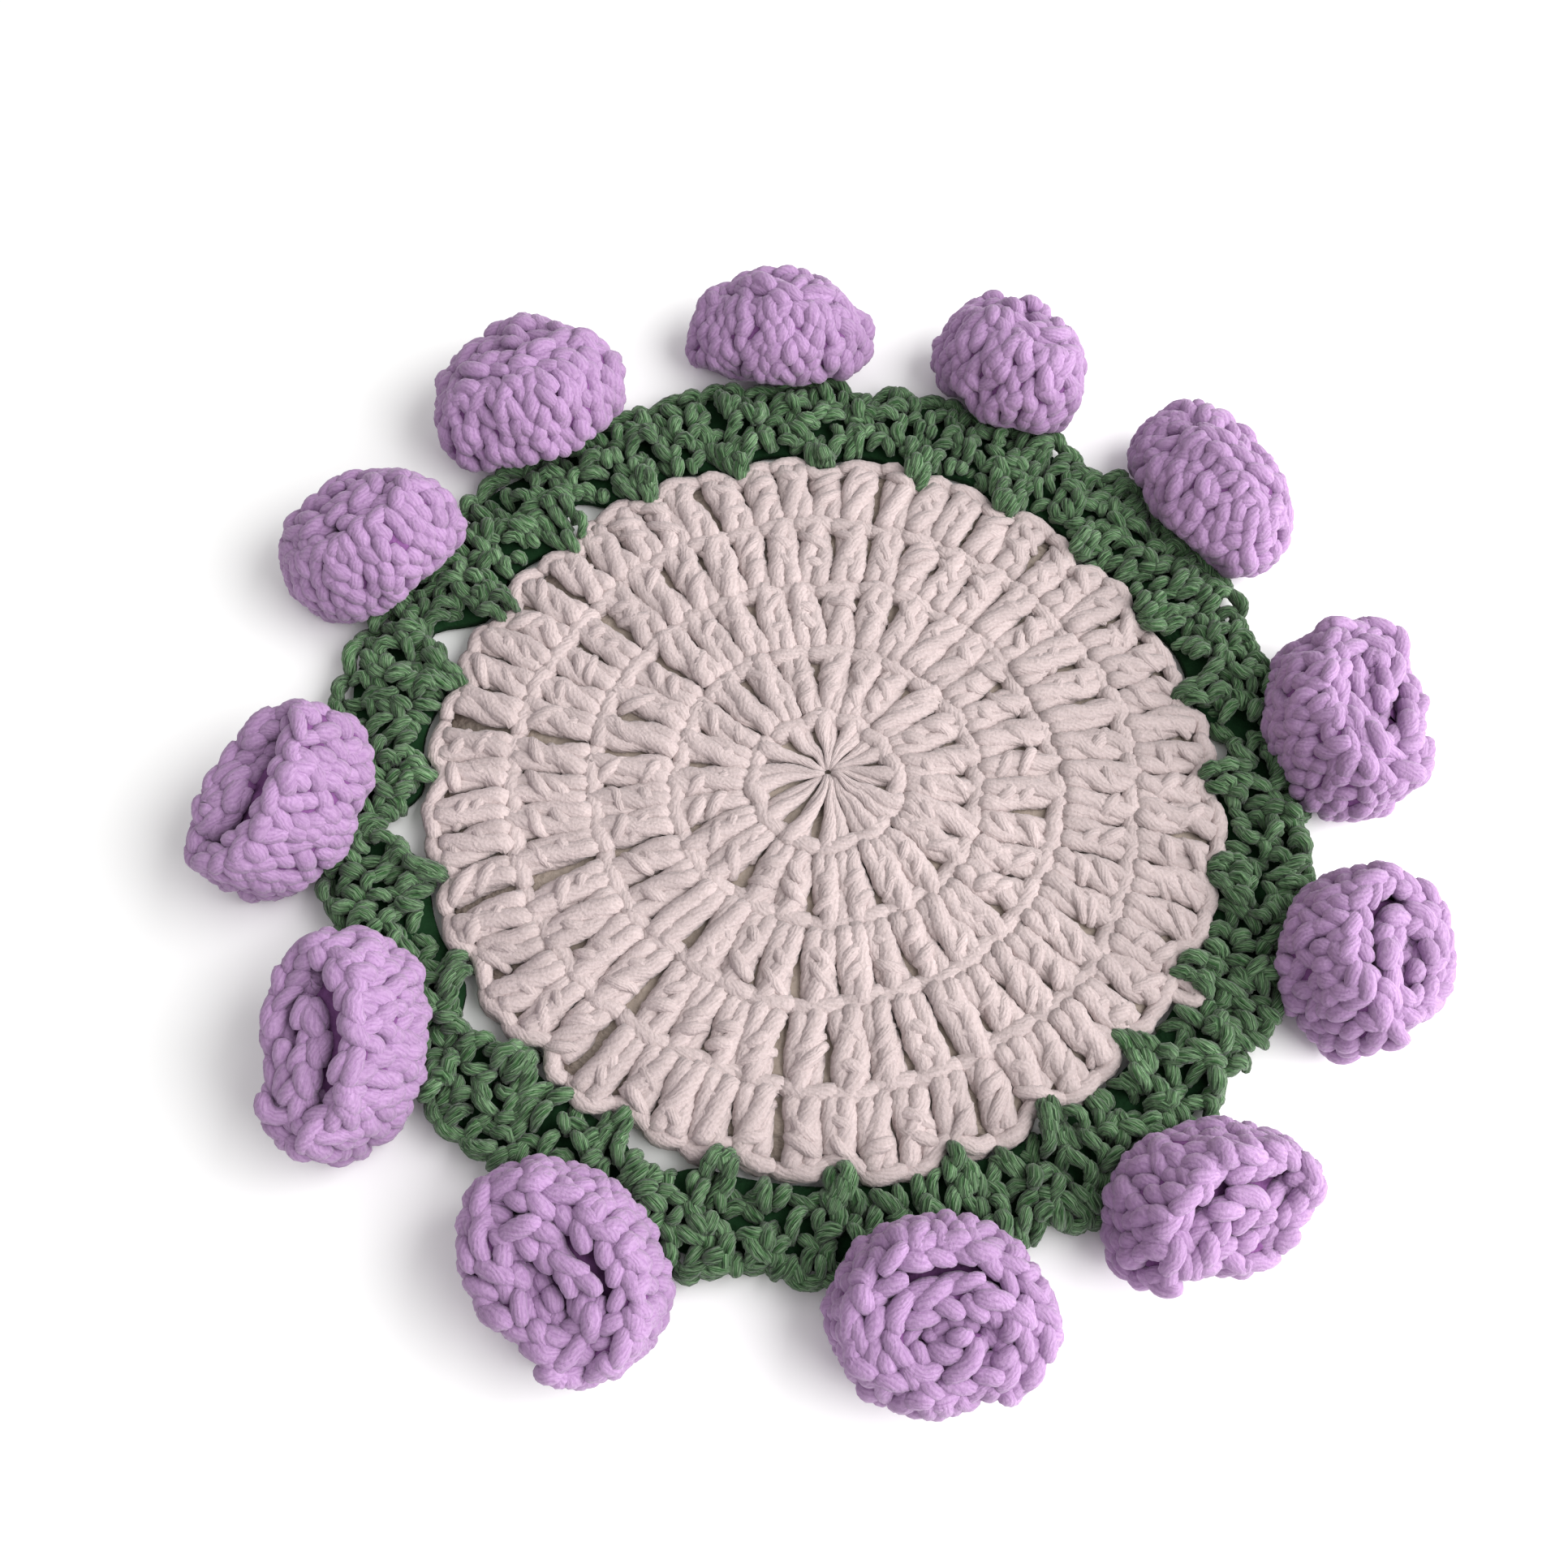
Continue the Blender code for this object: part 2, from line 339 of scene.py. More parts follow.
def add_node(tree: bpy.types.NodeTree, kind: str, inputs: dict[Any, Any], **settings: Any) -> Any:
    """Adds a node with its settings and its inputs.

    Args:
        tree: The material's node tree.
        kind: Blender's name for the node's type.
        inputs: Input name or number to a value, or to the output socket that feeds it.
        settings: Properties of the node itself.

    Returns:
        The node.
    """
    node = tree.nodes.new(kind)
    for key, value in settings.items():
        setattr(node, key, value)
    for key, value in inputs.items():
        if isinstance(value, bpy.types.NodeSocket):
            tree.links.new(value, node.inputs[key])
        else:
            node.inputs[key].default_value = value
    return node


def blank_material(name: str) -> tuple[bpy.types.Material, bpy.types.NodeTree]:
    """Makes a material with no nodes yet.

    Args:
        name: The material's name.

    Returns:
        The material and its node tree.
    """
    made = bpy.data.materials.new(name)
    made.use_nodes = True
    made.node_tree.nodes.clear()
    return made, made.node_tree


@dataclass(frozen=True)
class CottonYarn:
    """Soft plied cotton, dyed in the hank and matt. Its plies show as fine slanting ridges. Shade is
    painted into the grooves between them, and highlight is painted onto their tops in streaks of fibre
    noise, standing in for the light that loose fibres catch."""

    name: str
    slot: Slot
    # The first of these colours is painted shade for the grooves between the plies, the crest is painted
    # highlight for their tops, and the body is the dye's own colour.
    groove_shade: str
    body: str
    crest: str
    plies: int = 10
    ply_drift: float = 2.5 * MM
    ply_stray: float = 0.25
    # In millimetres, as the yarn UVs are: a strand's girth turns a share of the way round into them.
    # Real fibres are 0.02 mm wide, too fine to show in the render, so they are drawn as coarse as
    # they need to be to show.
    fibre_length: float = 1.6
    fibre_width: float = 0.14
    girth: float = 6.0
    # The haze of loose fibres is too fine to show as well, and is drawn as clumps of this size.
    fuzz_grain: float = 0.42 * MM
    fuzz_shade: float = 0.55
    mottle_size: float = 9.0 * MM
    ply_relief: float = 0.03 * MM
    fibre_relief: float = 0.03 * MM
    fuzz_relief: float = 0.12 * MM
    patchiness: float = 0.11
    roughness: float = 0.9
    specular: float = 0.2
    sheen: float = 0.2
    sheen_roughness: float = 0.5

    def material(self) -> bpy.types.Material:
        """Builds the material: ply ridges and fibres along the strand, and mottling over the cloth.

        Returns:
            The material.
        """
        made, tree = blank_material(self.name)
        yarn = add_node(tree, "ShaderNodeUVMap", {}, uv_map="yarn").outputs["UV"]
        place = add_node(tree, "ShaderNodeTexCoord", {}).outputs["Object"]
        tone = add_node(tree, "ShaderNodeAttribute", {}, attribute_name="tone").outputs["Fac"]

        # Three noises through space, each with its size and its detail.
        uneven, fuzz, mottle = (
            add_node(
                tree, "ShaderNodeTexNoise", {"Vector": place, "Scale": 1.0 / size, "Detail": detail}
            ).outputs["Fac"]
            for size, detail in ((self.ply_drift, 1.0), (self.fuzz_grain, 2.0), (self.mottle_size, 2.0))
        )

        # The plies: a cosine round the strand, one wave for each ply, made uneven by slow noise.
        around = add_node(tree, "ShaderNodeSeparateXYZ", {0: yarn}).outputs["Y"]
        drifted = add_node(
            tree, "ShaderNodeMath", {0: uneven, 1: self.ply_stray, 2: around}, operation="MULTIPLY_ADD"
        ).outputs[0]
        turned = add_node(
            tree, "ShaderNodeMath", {0: drifted, 1: TURN * self.plies}, operation="MULTIPLY"
        ).outputs[0]
        wave = add_node(tree, "ShaderNodeMath", {0: turned}, operation="COSINE").outputs[0]
        ply = add_node(
            tree, "ShaderNodeMapRange", {"Value": wave, "From Min": -1.0, "From Max": 0.6}
        ).outputs["Result"]

        # The fibres: noise drawn out along the ply, its width a share of the way round.
        drawn = add_node(
            tree,
            "ShaderNodeMapping",
            {"Vector": yarn, "Scale": (1.0 / self.fibre_length, self.girth / self.fibre_width, 1.0)},
        ).outputs["Vector"]
        fibre = add_node(
            tree, "ShaderNodeTexNoise", {"Vector": drawn, "Scale": 1.0, "Detail": 3.0}
        ).outputs["Fac"]

        # Colour: painted shade in the grooves, rising to the body up the ply, then painted highlight
        # towards the crest where fibres stand out. A strand's own tone with the mottling, and the fuzz,
        # each make it lighter or darker.
        ground = add_node(
            tree,
            "ShaderNodeMix",
            {0: ply, 6: linear(self.groove_shade), 7: linear(self.body)},
            data_type="RGBA",
        ).outputs[2]
        # Painted highlight: where the fibre noise stands out, the colour is mixed towards the crest.
        stray = add_node(
            tree,
            "ShaderNodeMapRange",
            {"Value": fibre, "From Min": 0.42, "From Max": 0.72, "To Max": 0.75},
        ).outputs["Result"]
        lit = add_node(
            tree, "ShaderNodeMix", {0: stray, 6: ground, 7: linear(self.crest)}, data_type="RGBA"
        ).outputs[2]
        patchy = add_node(
            tree, "ShaderNodeMath", {0: tone, 1: 0.5, 2: mottle}, operation="MULTIPLY_ADD"
        ).outputs[0]
        value = add_node(
            tree,
            "ShaderNodeMapRange",
            {
                "Value": patchy,
                "From Min": 0.35,
                "From Max": 1.15,
                "To Min": 1.0 - self.patchiness,
                "To Max": 1.0 + self.patchiness,
            },
        ).outputs["Result"]
        napped = add_node(
            tree,
            "ShaderNodeMapRange",
            {
                "Value": fuzz,
                "To Min": 1.0 - 0.5 * self.fuzz_shade,
                "To Max": 1.0 + 0.5 * self.fuzz_shade,
            },
        ).outputs["Result"]
        value = add_node(
            tree, "ShaderNodeMath", {0: value, 1: napped}, operation="MULTIPLY"
        ).outputs[0]
        colour = add_node(
            tree, "ShaderNodeHueSaturation", {"Color": lit, "Value": value, "Saturation": 1.0}
        ).outputs["Color"]

        # Relief in metres: plies first, then fibres and fuzz on them.
        height = add_node(
            tree, "ShaderNodeMath", {0: ply, 1: self.ply_relief}, operation="MULTIPLY"
        ).outputs[0]
        for noise, depth in ((fibre, self.fibre_relief), (fuzz, self.fuzz_relief)):
            height = add_node(
                tree, "ShaderNodeMath", {0: noise, 1: depth, 2: height}, operation="MULTIPLY_ADD"
            ).outputs[0]
        relief = add_node(
            tree, "ShaderNodeBump", {"Height": height, "Strength": 1.0, "Distance": 1.0}
        ).outputs["Normal"]
        shader = add_node(
            tree,
            "ShaderNodeBsdfPrincipled",
            {
                "Base Color": colour,
                "Roughness": self.roughness,
                "Specular IOR Level": self.specular,
                "Sheen Weight": self.sheen,
                "Sheen Roughness": self.sheen_roughness,
                "Normal": relief,
            },
        ).outputs["BSDF"]
        add_node(tree, "ShaderNodeOutputMaterial", {"Surface": shader})
        return made


@dataclass(frozen=True)
class PaintedShadeCotton:
    """Painted shade for the cloth between the stitches: the yarn's dye darkened to stand in for the shade
    deep in the gaps, rough and without ply lines, so that the gaps between stitches read as deep."""

    name: str
    slot: Slot
    # The painted shade's colour: the yarn's dye, darkened.
    colour: str
    grain: float = 0.8 * MM
    grain_relief: float = 0.3 * MM
    dark: float = 0.7
    light: float = 1.2
    roughness: float = 0.95
    specular: float = 0.1

    def material(self) -> bpy.types.Material:
        """Builds the material: a ground darkened as painted shade, with a rough grain.

        Returns:
            The material.
        """
        made, tree = blank_material(self.name)
        place = add_node(tree, "ShaderNodeTexCoord", {}).outputs["Object"]
        noise = add_node(
            tree, "ShaderNodeTexNoise", {"Vector": place, "Scale": 1.0 / self.grain, "Detail": 3.0}
        ).outputs["Fac"]
        value = add_node(
            tree, "ShaderNodeMapRange", {"Value": noise, "To Min": self.dark, "To Max": self.light}
        ).outputs["Result"]
        colour = add_node(
            tree, "ShaderNodeHueSaturation", {"Color": linear(self.colour), "Value": value}
        ).outputs["Color"]
        relief = add_node(
            tree, "ShaderNodeBump", {"Height": noise, "Strength": 1.0, "Distance": self.grain_relief}
        ).outputs["Normal"]
        shader = add_node(
            tree,
            "ShaderNodeBsdfPrincipled",
            {
                "Base Color": colour,
                "Roughness": self.roughness,
                "Specular IOR Level": self.specular,
                "Normal": relief,
            },
        ).outputs["BSDF"]
        add_node(tree, "ShaderNodeOutputMaterial", {"Surface": shader})
        return made


@dataclass(frozen=True)
class PaleBoard:
    """Smooth matt board under the coaster, close to white."""

    colour: str = "#FBFBFA"
    roughness: float = 0.9
    specular: float = 0.1

    def material(self) -> bpy.types.Material:
        """Builds the material: one pale matt colour.

        Returns:
            The material.
        """
        made, tree = blank_material("pale_board")
        shader = add_node(
            tree,
            "ShaderNodeBsdfPrincipled",
            {
                "Base Color": linear(self.colour),
                "Roughness": self.roughness,
                "Specular IOR Level": self.specular,
            },
        ).outputs["BSDF"]
        add_node(tree, "ShaderNodeOutputMaterial", {"Surface": shader})
        return made


# Undyed cream: the painted groove shade and the painted crest highlight stay close in tone to the body, so
# that the stitches show by their shadows.
CREAM_YARN = CottonYarn(
    "cream_plied_cotton",
    Slot.CREAM,
    groove_shade="#AFA09E",
    body="#B6A7A6",
    crest="#BDAFAD",
    ply_stray=0.35,
    fuzz_shade=0.45,
)
# Leaf green: a deep dye, with dark painted shade in the grooves and pale painted highlight on the plies'
# tops, so that the plies stand out.
GREEN_YARN = CottonYarn(
    "green_plied_cotton",
    Slot.GREEN,
    groove_shade="#0F260E",
    body="#2A4D27",
    crest="#93B18B",
    plies=7,
    ply_relief=0.06 * MM,
    fibre_relief=0.05 * MM,
    patchiness=0.3,
)
# Lilac: a soft dye, with painted shade a little deeper in colour in the grooves.
LILAC_YARN = CottonYarn(
    "lilac_plied_cotton",
    Slot.LILAC,
    groove_shade="#94739B",
    body="#A181A7",
    crest="#AC8EB2",
    ply_stray=0.4,
    fuzz_shade=0.42,
    ply_relief=0.02 * MM,
)
# The cloths inside the mat, the border and the buds wear painted shade: each yarn's dye darkened to stand
# in for the shade between the stitches.
CREAM_PAINTED_SHADE = PaintedShadeCotton("cream_cotton_painted_shade", Slot.CREAM, "#A3968B")
GREEN_PAINTED_SHADE = PaintedShadeCotton("green_cotton_painted_shade", Slot.GREEN, "#17331C")
LILAC_PAINTED_SHADE = PaintedShadeCotton("lilac_cotton_painted_shade", Slot.LILAC, "#7A4F81")


def dress(piece: bpy.types.Object, finish: CottonYarn | PaintedShadeCotton) -> None:
    """Gives a piece its finish, lets it ride on the coaster's body, and reports it.

    Args:
        piece: The piece's object.
        finish: Its finish, whose material is made once and shared.
    """
    material = bpy.data.materials.get(finish.name) or finish.material()
    piece.data.materials.append(material)
    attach(piece, BODY)
    log.info("%s: %d faces", piece.name, len(piece.data.polygons))


# ---------------------------------------------------------------------------------------------
# Stitches, in the cloth's own directions
# ---------------------------------------------------------------------------------------------


def wound_offsets(share: Array, strands: int, turns: Array, phase: Array) -> tuple[Array, Array]:
    """Strands wound round a common spine: strand k stands at angle phase + 2π(turns·share + k/strands).

    Args:
        share: Shares along the spine, (points,).
        strands: How many strands are wound together.
        turns: Turns along each spine, (stitches,).
        phase: Angle at each spine's start, (stitches,).

    Returns:
        The cosine and the sine of the angle, each (stitches, strands, points).
    """
    start = phase[:, None, None] + TURN * (np.arange(strands) / strands)[:, None]
    angle = start + TURN * turns[:, None, None] * share
    return np.cos(angle), np.sin(angle)


def plump(share: Array, least: float = 0.5) -> Array:
    """The width of a stroke along its length: least + (1 - least)·(sin(π·share) to the power 0.65)."""
    return least + (1.0 - least) * np.sin(math.pi * np.clip(share, 0.0, 1.0)) ** 0.65


def chain_legs(share: Array, pitch: float, spread: float, lift: float) -> tuple[Array, Array, Array]:
    """The two legs of one loop of a chain. Each leg leaves the point of the loop behind, opens out
    to its own side and dives under the loop ahead: along runs from -0.12 to 1.08 pitches, and out is
    lift times a half sine. Across is ±spread times a swing, a smooth step from 0.12 to 1 over the
    first three quarters of the leg that falls by 0.2 over the last half.

    Args:
        share: Shares along a leg, (points,).
        pitch: Length of a loop.
        spread: How far a leg opens to its side.
        lift: How far it stands out of the cloth.

    Returns:
        Along, across and out, each (2, points).
    """
    along = pitch * (-0.12 + 1.2 * share)
    swing = 0.12 + 0.88 * smooth_step(share * 1.35) - 0.2 * smooth_step(share * 2.0 - 1.0)
    sides = np.array([[1.0], [-1.0]])
    both = np.ones((2, 1))
    return along * both, sides * spread * swing, lift * np.sin(math.pi * share) * both


# ---------------------------------------------------------------------------------------------
# The lie of the mat and the border
# ---------------------------------------------------------------------------------------------


@dataclass(frozen=True)
class Lay:
    """Where things lie round the mat: the border's feet, the notches that they pull into the mat's
    edge, and the border's outer edge with its low shells."""

    disc_radius: float = 52.6 * MM
    notch_depth: float = 1.9 * MM
    notch_half_angle: float = math.radians(4.4)
    foot_count: int = 24
    first_foot: float = math.radians(7.5)
    foot_drift: float = math.radians(1.2)
    drift_bearing: float = math.radians(300.0)
    band_radius: float = 65.7 * MM
    band_lopside: float = 1.7 * MM
    lopside_bearing: float = math.radians(130.0)
    shell_rise: float = 0.7 * MM

    def foot_bearings(self) -> Array:
        """The feet stand a pitch apart, drifting by a cosine of their bearing."""
        even = self.first_foot + TURN * np.arange(self.foot_count) / self.foot_count
        return even + self.foot_drift * np.cos(even - self.drift_bearing)

    def notch(self, bearing: Array) -> Array:
        """How deep the edge is notched: one at a foot's middle, falling to nought at the notch's half
        angle, as a squared cosine.

        Args:
            bearing: Bearings round the mat.

        Returns:
            The share of the notch's depth at each.
        """
        away = bearing[..., None] - self.foot_bearings()
        away = np.abs((away + math.pi) % TURN - math.pi).min(axis=-1)
        return np.cos(np.minimum(away / self.notch_half_angle, 1.0) * math.pi / 2) ** 2

    def mat_edge(self, bearing: Array) -> Array:
        """The mat's edge radius: a circle less the notches."""
        return self.disc_radius - self.notch_depth * self.notch(bearing)

    def band_edge(self, bearing: Array) -> Array:
        """The border's outer radius: a circle that reaches further on one side, with a low shell
        over each foot.

        Args:
            bearing: Bearings round the border.

        Returns:
            The radius at each.
        """
        leaning = self.band_lopside * np.cos(bearing - self.lopside_bearing)
        shells = self.shell_rise * np.cos(self.foot_count * (bearing - self.first_foot))
        return self.band_radius + leaning + shells


LAY = Lay()
UPWARDS = np.array([0.0, 0.0, 1.0])


def ground_place(bearing: Array, radius: Array, height: Array, sideways: Array | float = 0.0) -> Array:
    """A point at a bearing, radius and height, then moved sideways along the tangent.

    Args:
        bearing: The bearing from the mat's middle.
        radius: The distance from it.
        height: The height over the table.
        sideways: How far the point is moved anticlockwise, square to its radius.

    Returns:
        Points, one axis more than the arguments.
    """
    x = radius * np.cos(bearing) - sideways * np.sin(bearing)
    y = radius * np.sin(bearing) + sideways * np.cos(bearing)
    return np.stack(np.broadcast_arrays(x, y, height), axis=-1)


# ---------------------------------------------------------------------------------------------
# The mat
# ---------------------------------------------------------------------------------------------


class Bundle(NamedTuple):
    """How a post's strands are wound: how many there are, how many turns they make from foot to
    head, and the angle at which they start, in radians."""

    strands: int
    turns: float
    start: float


class Loops(NamedTuple):
    """How a chain's loops lie: their radius, how far their two legs open, and their height."""

    radius: float
    spread: float
    height: float


@dataclass
class Mat:
    """The round mat: a base cloth, five rounds of posts, and a chain of loops round each."""

    rounds: int = 5
    sectors: int = 12
    round_depth: float = 10.55 * MM
    seam_bearing: float = math.radians(-1.8)
    seam_drift: float = math.radians(1.3)
    seam_gap: float = 1.1 * MM
    # Posts: where they start and end within their round, and how far their ends stray.
    post_points: int = 12
    ring_radius: float = 0.6 * MM
    lap: float = 0.2 * MM
    head_gap: float = 0.5 * MM
    edge_gap: float = 1.7 * MM
    foot_stray: float = 0.15 * MM
    head_stray: float = 0.35 * MM
    reach_stray: float = 0.25 * MM
    # Posts: the heights of their spines.
    middle_height: float = 2.5 * MM
    step_up: float = 0.5 * MM
    head_dip: float = 0.1 * MM
    post_lift: float = 0.05 * MM
    height_stray: float = 0.14 * MM
    ground_gap: float = 0.05 * MM
    # Posts: their strands, as shares of the room that a post has, which is taken this far in from
    # the round's outer radius and is held to so many times a foot's own room.
    room_inset: float = 0.22
    foot_room: float = 1.3
    strand_share: float = 0.31
    bundle_share: float = 0.52
    least_swing: float = 0.12
    depth_share: float = 0.3
    least_strand: float = 0.4 * MM
    strand_radius: float = 1.42 * MM
    strand_depth: float = 0.45 * MM
    first_bundle: Bundle = Bundle(2, 0.15, 0.0)
    bundle: Bundle = Bundle(3, 0.3, 0.5)
    turns_stray: float = 0.12
    start_stray: float = 0.35
    # Wraps: where they cross a post, as shares of its round in from its outer radius, and how wide
    # they are, as a share of half the room.
    wrap_points: int = 8
    wrap_radius: float = 0.95 * MM
    wrap_places: tuple[float, float] = (0.68, 0.4)
    wrap_span: float = 1.7
    wrap_slant: float = 1.5 * MM
    wrap_arch: float = 0.95 * MM
    wrap_lift: float = 0.2 * MM
    wrap_stray: float = 0.4 * MM
    wrap_bob: float = 0.12 * MM
    # Chains along the rounds, and the one along the mat's own edge.
    chain: Loops = Loops(1.5 * MM, 0.35 * MM, 2.5 * MM)
    edge_chain: Loops = Loops(1.2 * MM, 0.7 * MM, 2.3 * MM)
    chain_points: int = 9
    chain_inset: float = 1.4 * MM
    chain_lift: float = 0.5 * MM
    chain_stray: float = 0.12 * MM
    chain_bob: float = 0.1 * MM
    # The loose end: its loop starts inside the mat's edge and goes out and up by half sines.
    end_points: int = 16
    end_bearing: float = math.radians(334.5)
    end_radius: float = 1.05 * MM
    end_inset: float = 1.8 * MM
    end_reach: float = 4.2 * MM
    end_half_width: float = 1.1 * MM
    end_height: float = 2.4 * MM
    end_arch: float = 1.1 * MM
    # The cloth under the yarn.
    cloth_points: int = 240
    cloth_low: float = 0.5 * MM
    cloth_high: float = 2.1 * MM
    cloth_hole: float = 0.5 * MM
    cloth_margin: float = 2.2 * MM
    # The hand's unevenness.
    centre_shift: tuple[float, float, float] = (0.7 * MM, 1.9 * MM, 0.0)
    centre_reach: float = 14.0 * MM
    yarn: Yarn = Yarn(sides=8, flatness=0.72)
    wander: Wander = Wander(0.45 * MM, 26.0 * MM, 3)
    kinks: Wander = Wander(0.3 * MM, 4.5 * MM, 4)

    def settle(self, path: Array) -> Array:
        """Shifts points by the mat's unevenness, and draws its middle a little to one side.

        Args:
            path: Points, (..., 3).

        Returns:
            The shifted points, at the heights that they had.
        """
        far = np.hypot(path[..., 0], path[..., 1])[..., None]
        drawn = path + np.array(self.centre_shift) * (1.0 - smooth_step(far / self.centre_reach))
        moved = self.kinks.moved(self.wander.moved(drawn))
        moved[..., 2] = path[..., 2]
        return moved

    def post_bearings(self, number: int) -> tuple[Array, float]:
        """Bearings of a round's posts. A sector of round n has n posts, which share evenly what the
        seam's gap leaves of the sector; the gap is wider in the outer rounds, as 1 - 1/n.

        Args:
            number: The round, from 1.

        Returns:
            The posts' bearings, (posts,), and the angle between neighbours.
        """
        sector = TURN / self.sectors
        gap = self.seam_gap * (1.0 - 1.0 / number) / ((number - 0.5) * self.round_depth)
        step = (sector - gap) / number
        post = 0.5 * gap + step * (np.arange(number) + 0.5)
        seam = self.seam_bearing + sector * np.arange(self.sectors)[:, None]
        seam = seam - self.seam_drift * np.sin(seam)
        return (seam + post).ravel(), step

    def build_round(self, number: int, rng: np.random.Generator) -> bpy.types.Object:
        """One round of posts, each a few strands wound round a spine that runs outwards.

        The spine rises steeply at its foot and slopes down to its head, so each round laps a
        little over the one inside it. The bundle is as wide as the room between posts.

        Args:
            number: The round, from 1.
            rng: Where the unevenness comes from.

        Returns:
            The round's mesh object.
        """
        feet, step = self.post_bearings(number)
        posts = len(feet)
        first = number == 1
        base = number * self.round_depth
        feet = feet + rng.normal(0.0, self.foot_stray, posts) / base
        heads = feet + rng.normal(0.0, self.head_stray, posts) / base
        share = shares(self.post_points)
        bearing = feet[:, None] + (heads - feet)[:, None] * smooth_step(share * 0.9 + 0.05)
        inner = self.ring_radius if first else base - self.round_depth - self.lap
        outer = base - self.head_gap + rng.normal(0.0, self.reach_stray, posts)
        if number == self.rounds:
            outer = LAY.mat_edge(heads) - self.edge_gap
        radius = inner + (outer - inner)[:, None] * share
        # Foot to head: up over the first tenth, down evenly, and a dip over the last fifth.
        height = self.middle_height + self.step_up * (1.0 - share) * smooth_step(share / 0.1)
        height = height - self.head_dip * smooth_step((share - 0.8) / 0.2)
        height = height + rng.normal(self.post_lift, self.height_stray, (posts, 1))
        # The first round's posts are wedges; past it a post keeps its width and narrows at its foot.
        local = step * radius
        room = step * (base - self.room_inset * self.round_depth)
        pitch = local if first else np.minimum(room, local * self.foot_room)
        strand = np.clip(self.strand_share * pitch, self.least_strand, self.strand_radius)
        across = np.maximum(self.bundle_share * pitch - strand, self.least_swing * pitch)
        depth = np.minimum(self.strand_depth, self.depth_share * strand)
        wound = self.first_bundle if first else self.bundle
        turns = rng.normal(wound.turns, self.turns_stray, posts)
        phase = rng.normal(wound.start, self.start_stray, posts)
        cosine, sine = wound_offsets(share, wound.strands, turns, phase)
        level = np.maximum(height[:, None] + depth[:, None] * sine, strand[:, None] + self.ground_gap)
        path = ground_place(bearing[:, None], radius[:, None], level, across[:, None] * cosine)
        tube = TubeMesh(f"mat_round_{number}")
        tube.add_strands(self.settle(path), strand[:, None], UPWARDS, self.yarn, rng)
        if not first:
            self.add_wraps(tube, feet, base, 0.5 * step, rng)
        return tube.to_object()

    def add_wraps(
        self, tube: TubeMesh, feet: Array, base: float, half_step: float, rng: np.random.Generator
    ) -> None:
        """The turns of yarn across each post: two strokes that cross it aslant, one behind the other.

        A wrap runs from one side of the post to the other as its share goes from nought to one,
        outwards by its slant, and over the post's top by a half sine.

        Args:
            tube: The round's mesh.
            feet: The posts' bearings.
            base: The round's outer radius.
            half_step: Half the angle between posts.
            rng: Where the unevenness comes from.
        """
        share = shares(self.wrap_points)
        shape = (len(feet), len(self.wrap_places), 1)
        middle = base - self.round_depth * np.array(self.wrap_places)[:, None]
        middle = middle + rng.normal(0.0, self.wrap_stray, shape)
        side = rng.choice([-1.0, 1.0], (len(feet), 1, 1))
        slant = side * rng.normal(self.wrap_slant, self.wrap_stray, shape)
        aside = half_step * self.wrap_span * (share - 0.5)
        radius = middle + 2.0 * slant * (share - 0.5)
        height = self.middle_height + self.wrap_lift + self.wrap_arch * np.sin(math.pi * share)
        height = height + rng.normal(0.0, self.wrap_bob, shape)
        path = ground_place(feet[:, None, None] + aside, radius, height)
        radii = self.wrap_radius * plump(share, least=0.6) * rng.normal(1.0, 0.08, shape)
        tube.add_strands(self.settle(path), radii, UPWARDS, self.yarn, rng)

    def build_chain(self, number: int, rng: np.random.Generator) -> bpy.types.Object:
        """The loops along a round's edge, two legs each, lying on edge.

        Args:
            number: The round, from 1.
            rng: Where the unevenness comes from.

        Returns:
            The chain's mesh object.
        """
        heads, _ = self.post_bearings(number)
        loops = len(heads)
        last = number == self.rounds
        lie = self.edge_chain if last else self.chain
        share = shares(self.chain_points)
        base = number * self.round_depth
        pitch = TURN * base / loops
        along, across, out = chain_legs(share, pitch, lie.spread, self.chain_lift)
        bearing = heads[:, None, None] - 0.5 * pitch / base + along / base
        edge = (LAY.mat_edge(bearing) if last else base) - self.chain_inset
        radius = edge + out + rng.normal(0.0, self.chain_stray, (loops, 1, 1))
        height = lie.height + across + rng.normal(0.0, self.chain_bob, (loops, 1, 1))
        path = self.settle(ground_place(bearing, radius, height))
        radii = lie.radius * plump(share, least=0.75)
        return strand_object(f"mat_chain_{number}", path, radii, UPWARDS, self.yarn, rng)

    def build_yarn_end(self, rng: np.random.Generator) -> bpy.types.Object:
        """The fastened-off end of the mat's yarn: a short loop over the edge, half a turn of a
        circle drawn out along the radius.

        Args:
            rng: Where the strand's tone and ply phase come from.

        Returns:
            The loop's mesh object.
        """
        angle = math.pi * shares(self.end_points)
        bearing = self.end_bearing + self.end_half_width * np.cos(angle) / LAY.disc_radius
        radius = LAY.disc_radius - self.end_inset + self.end_reach * np.sin(angle)
        height = self.end_height + self.end_arch * np.sin(angle)
        path = self.settle(ground_place(bearing, radius, height))
        return strand_object("mat_yarn_end", path, self.end_radius, UPWARDS, self.yarn, rng)

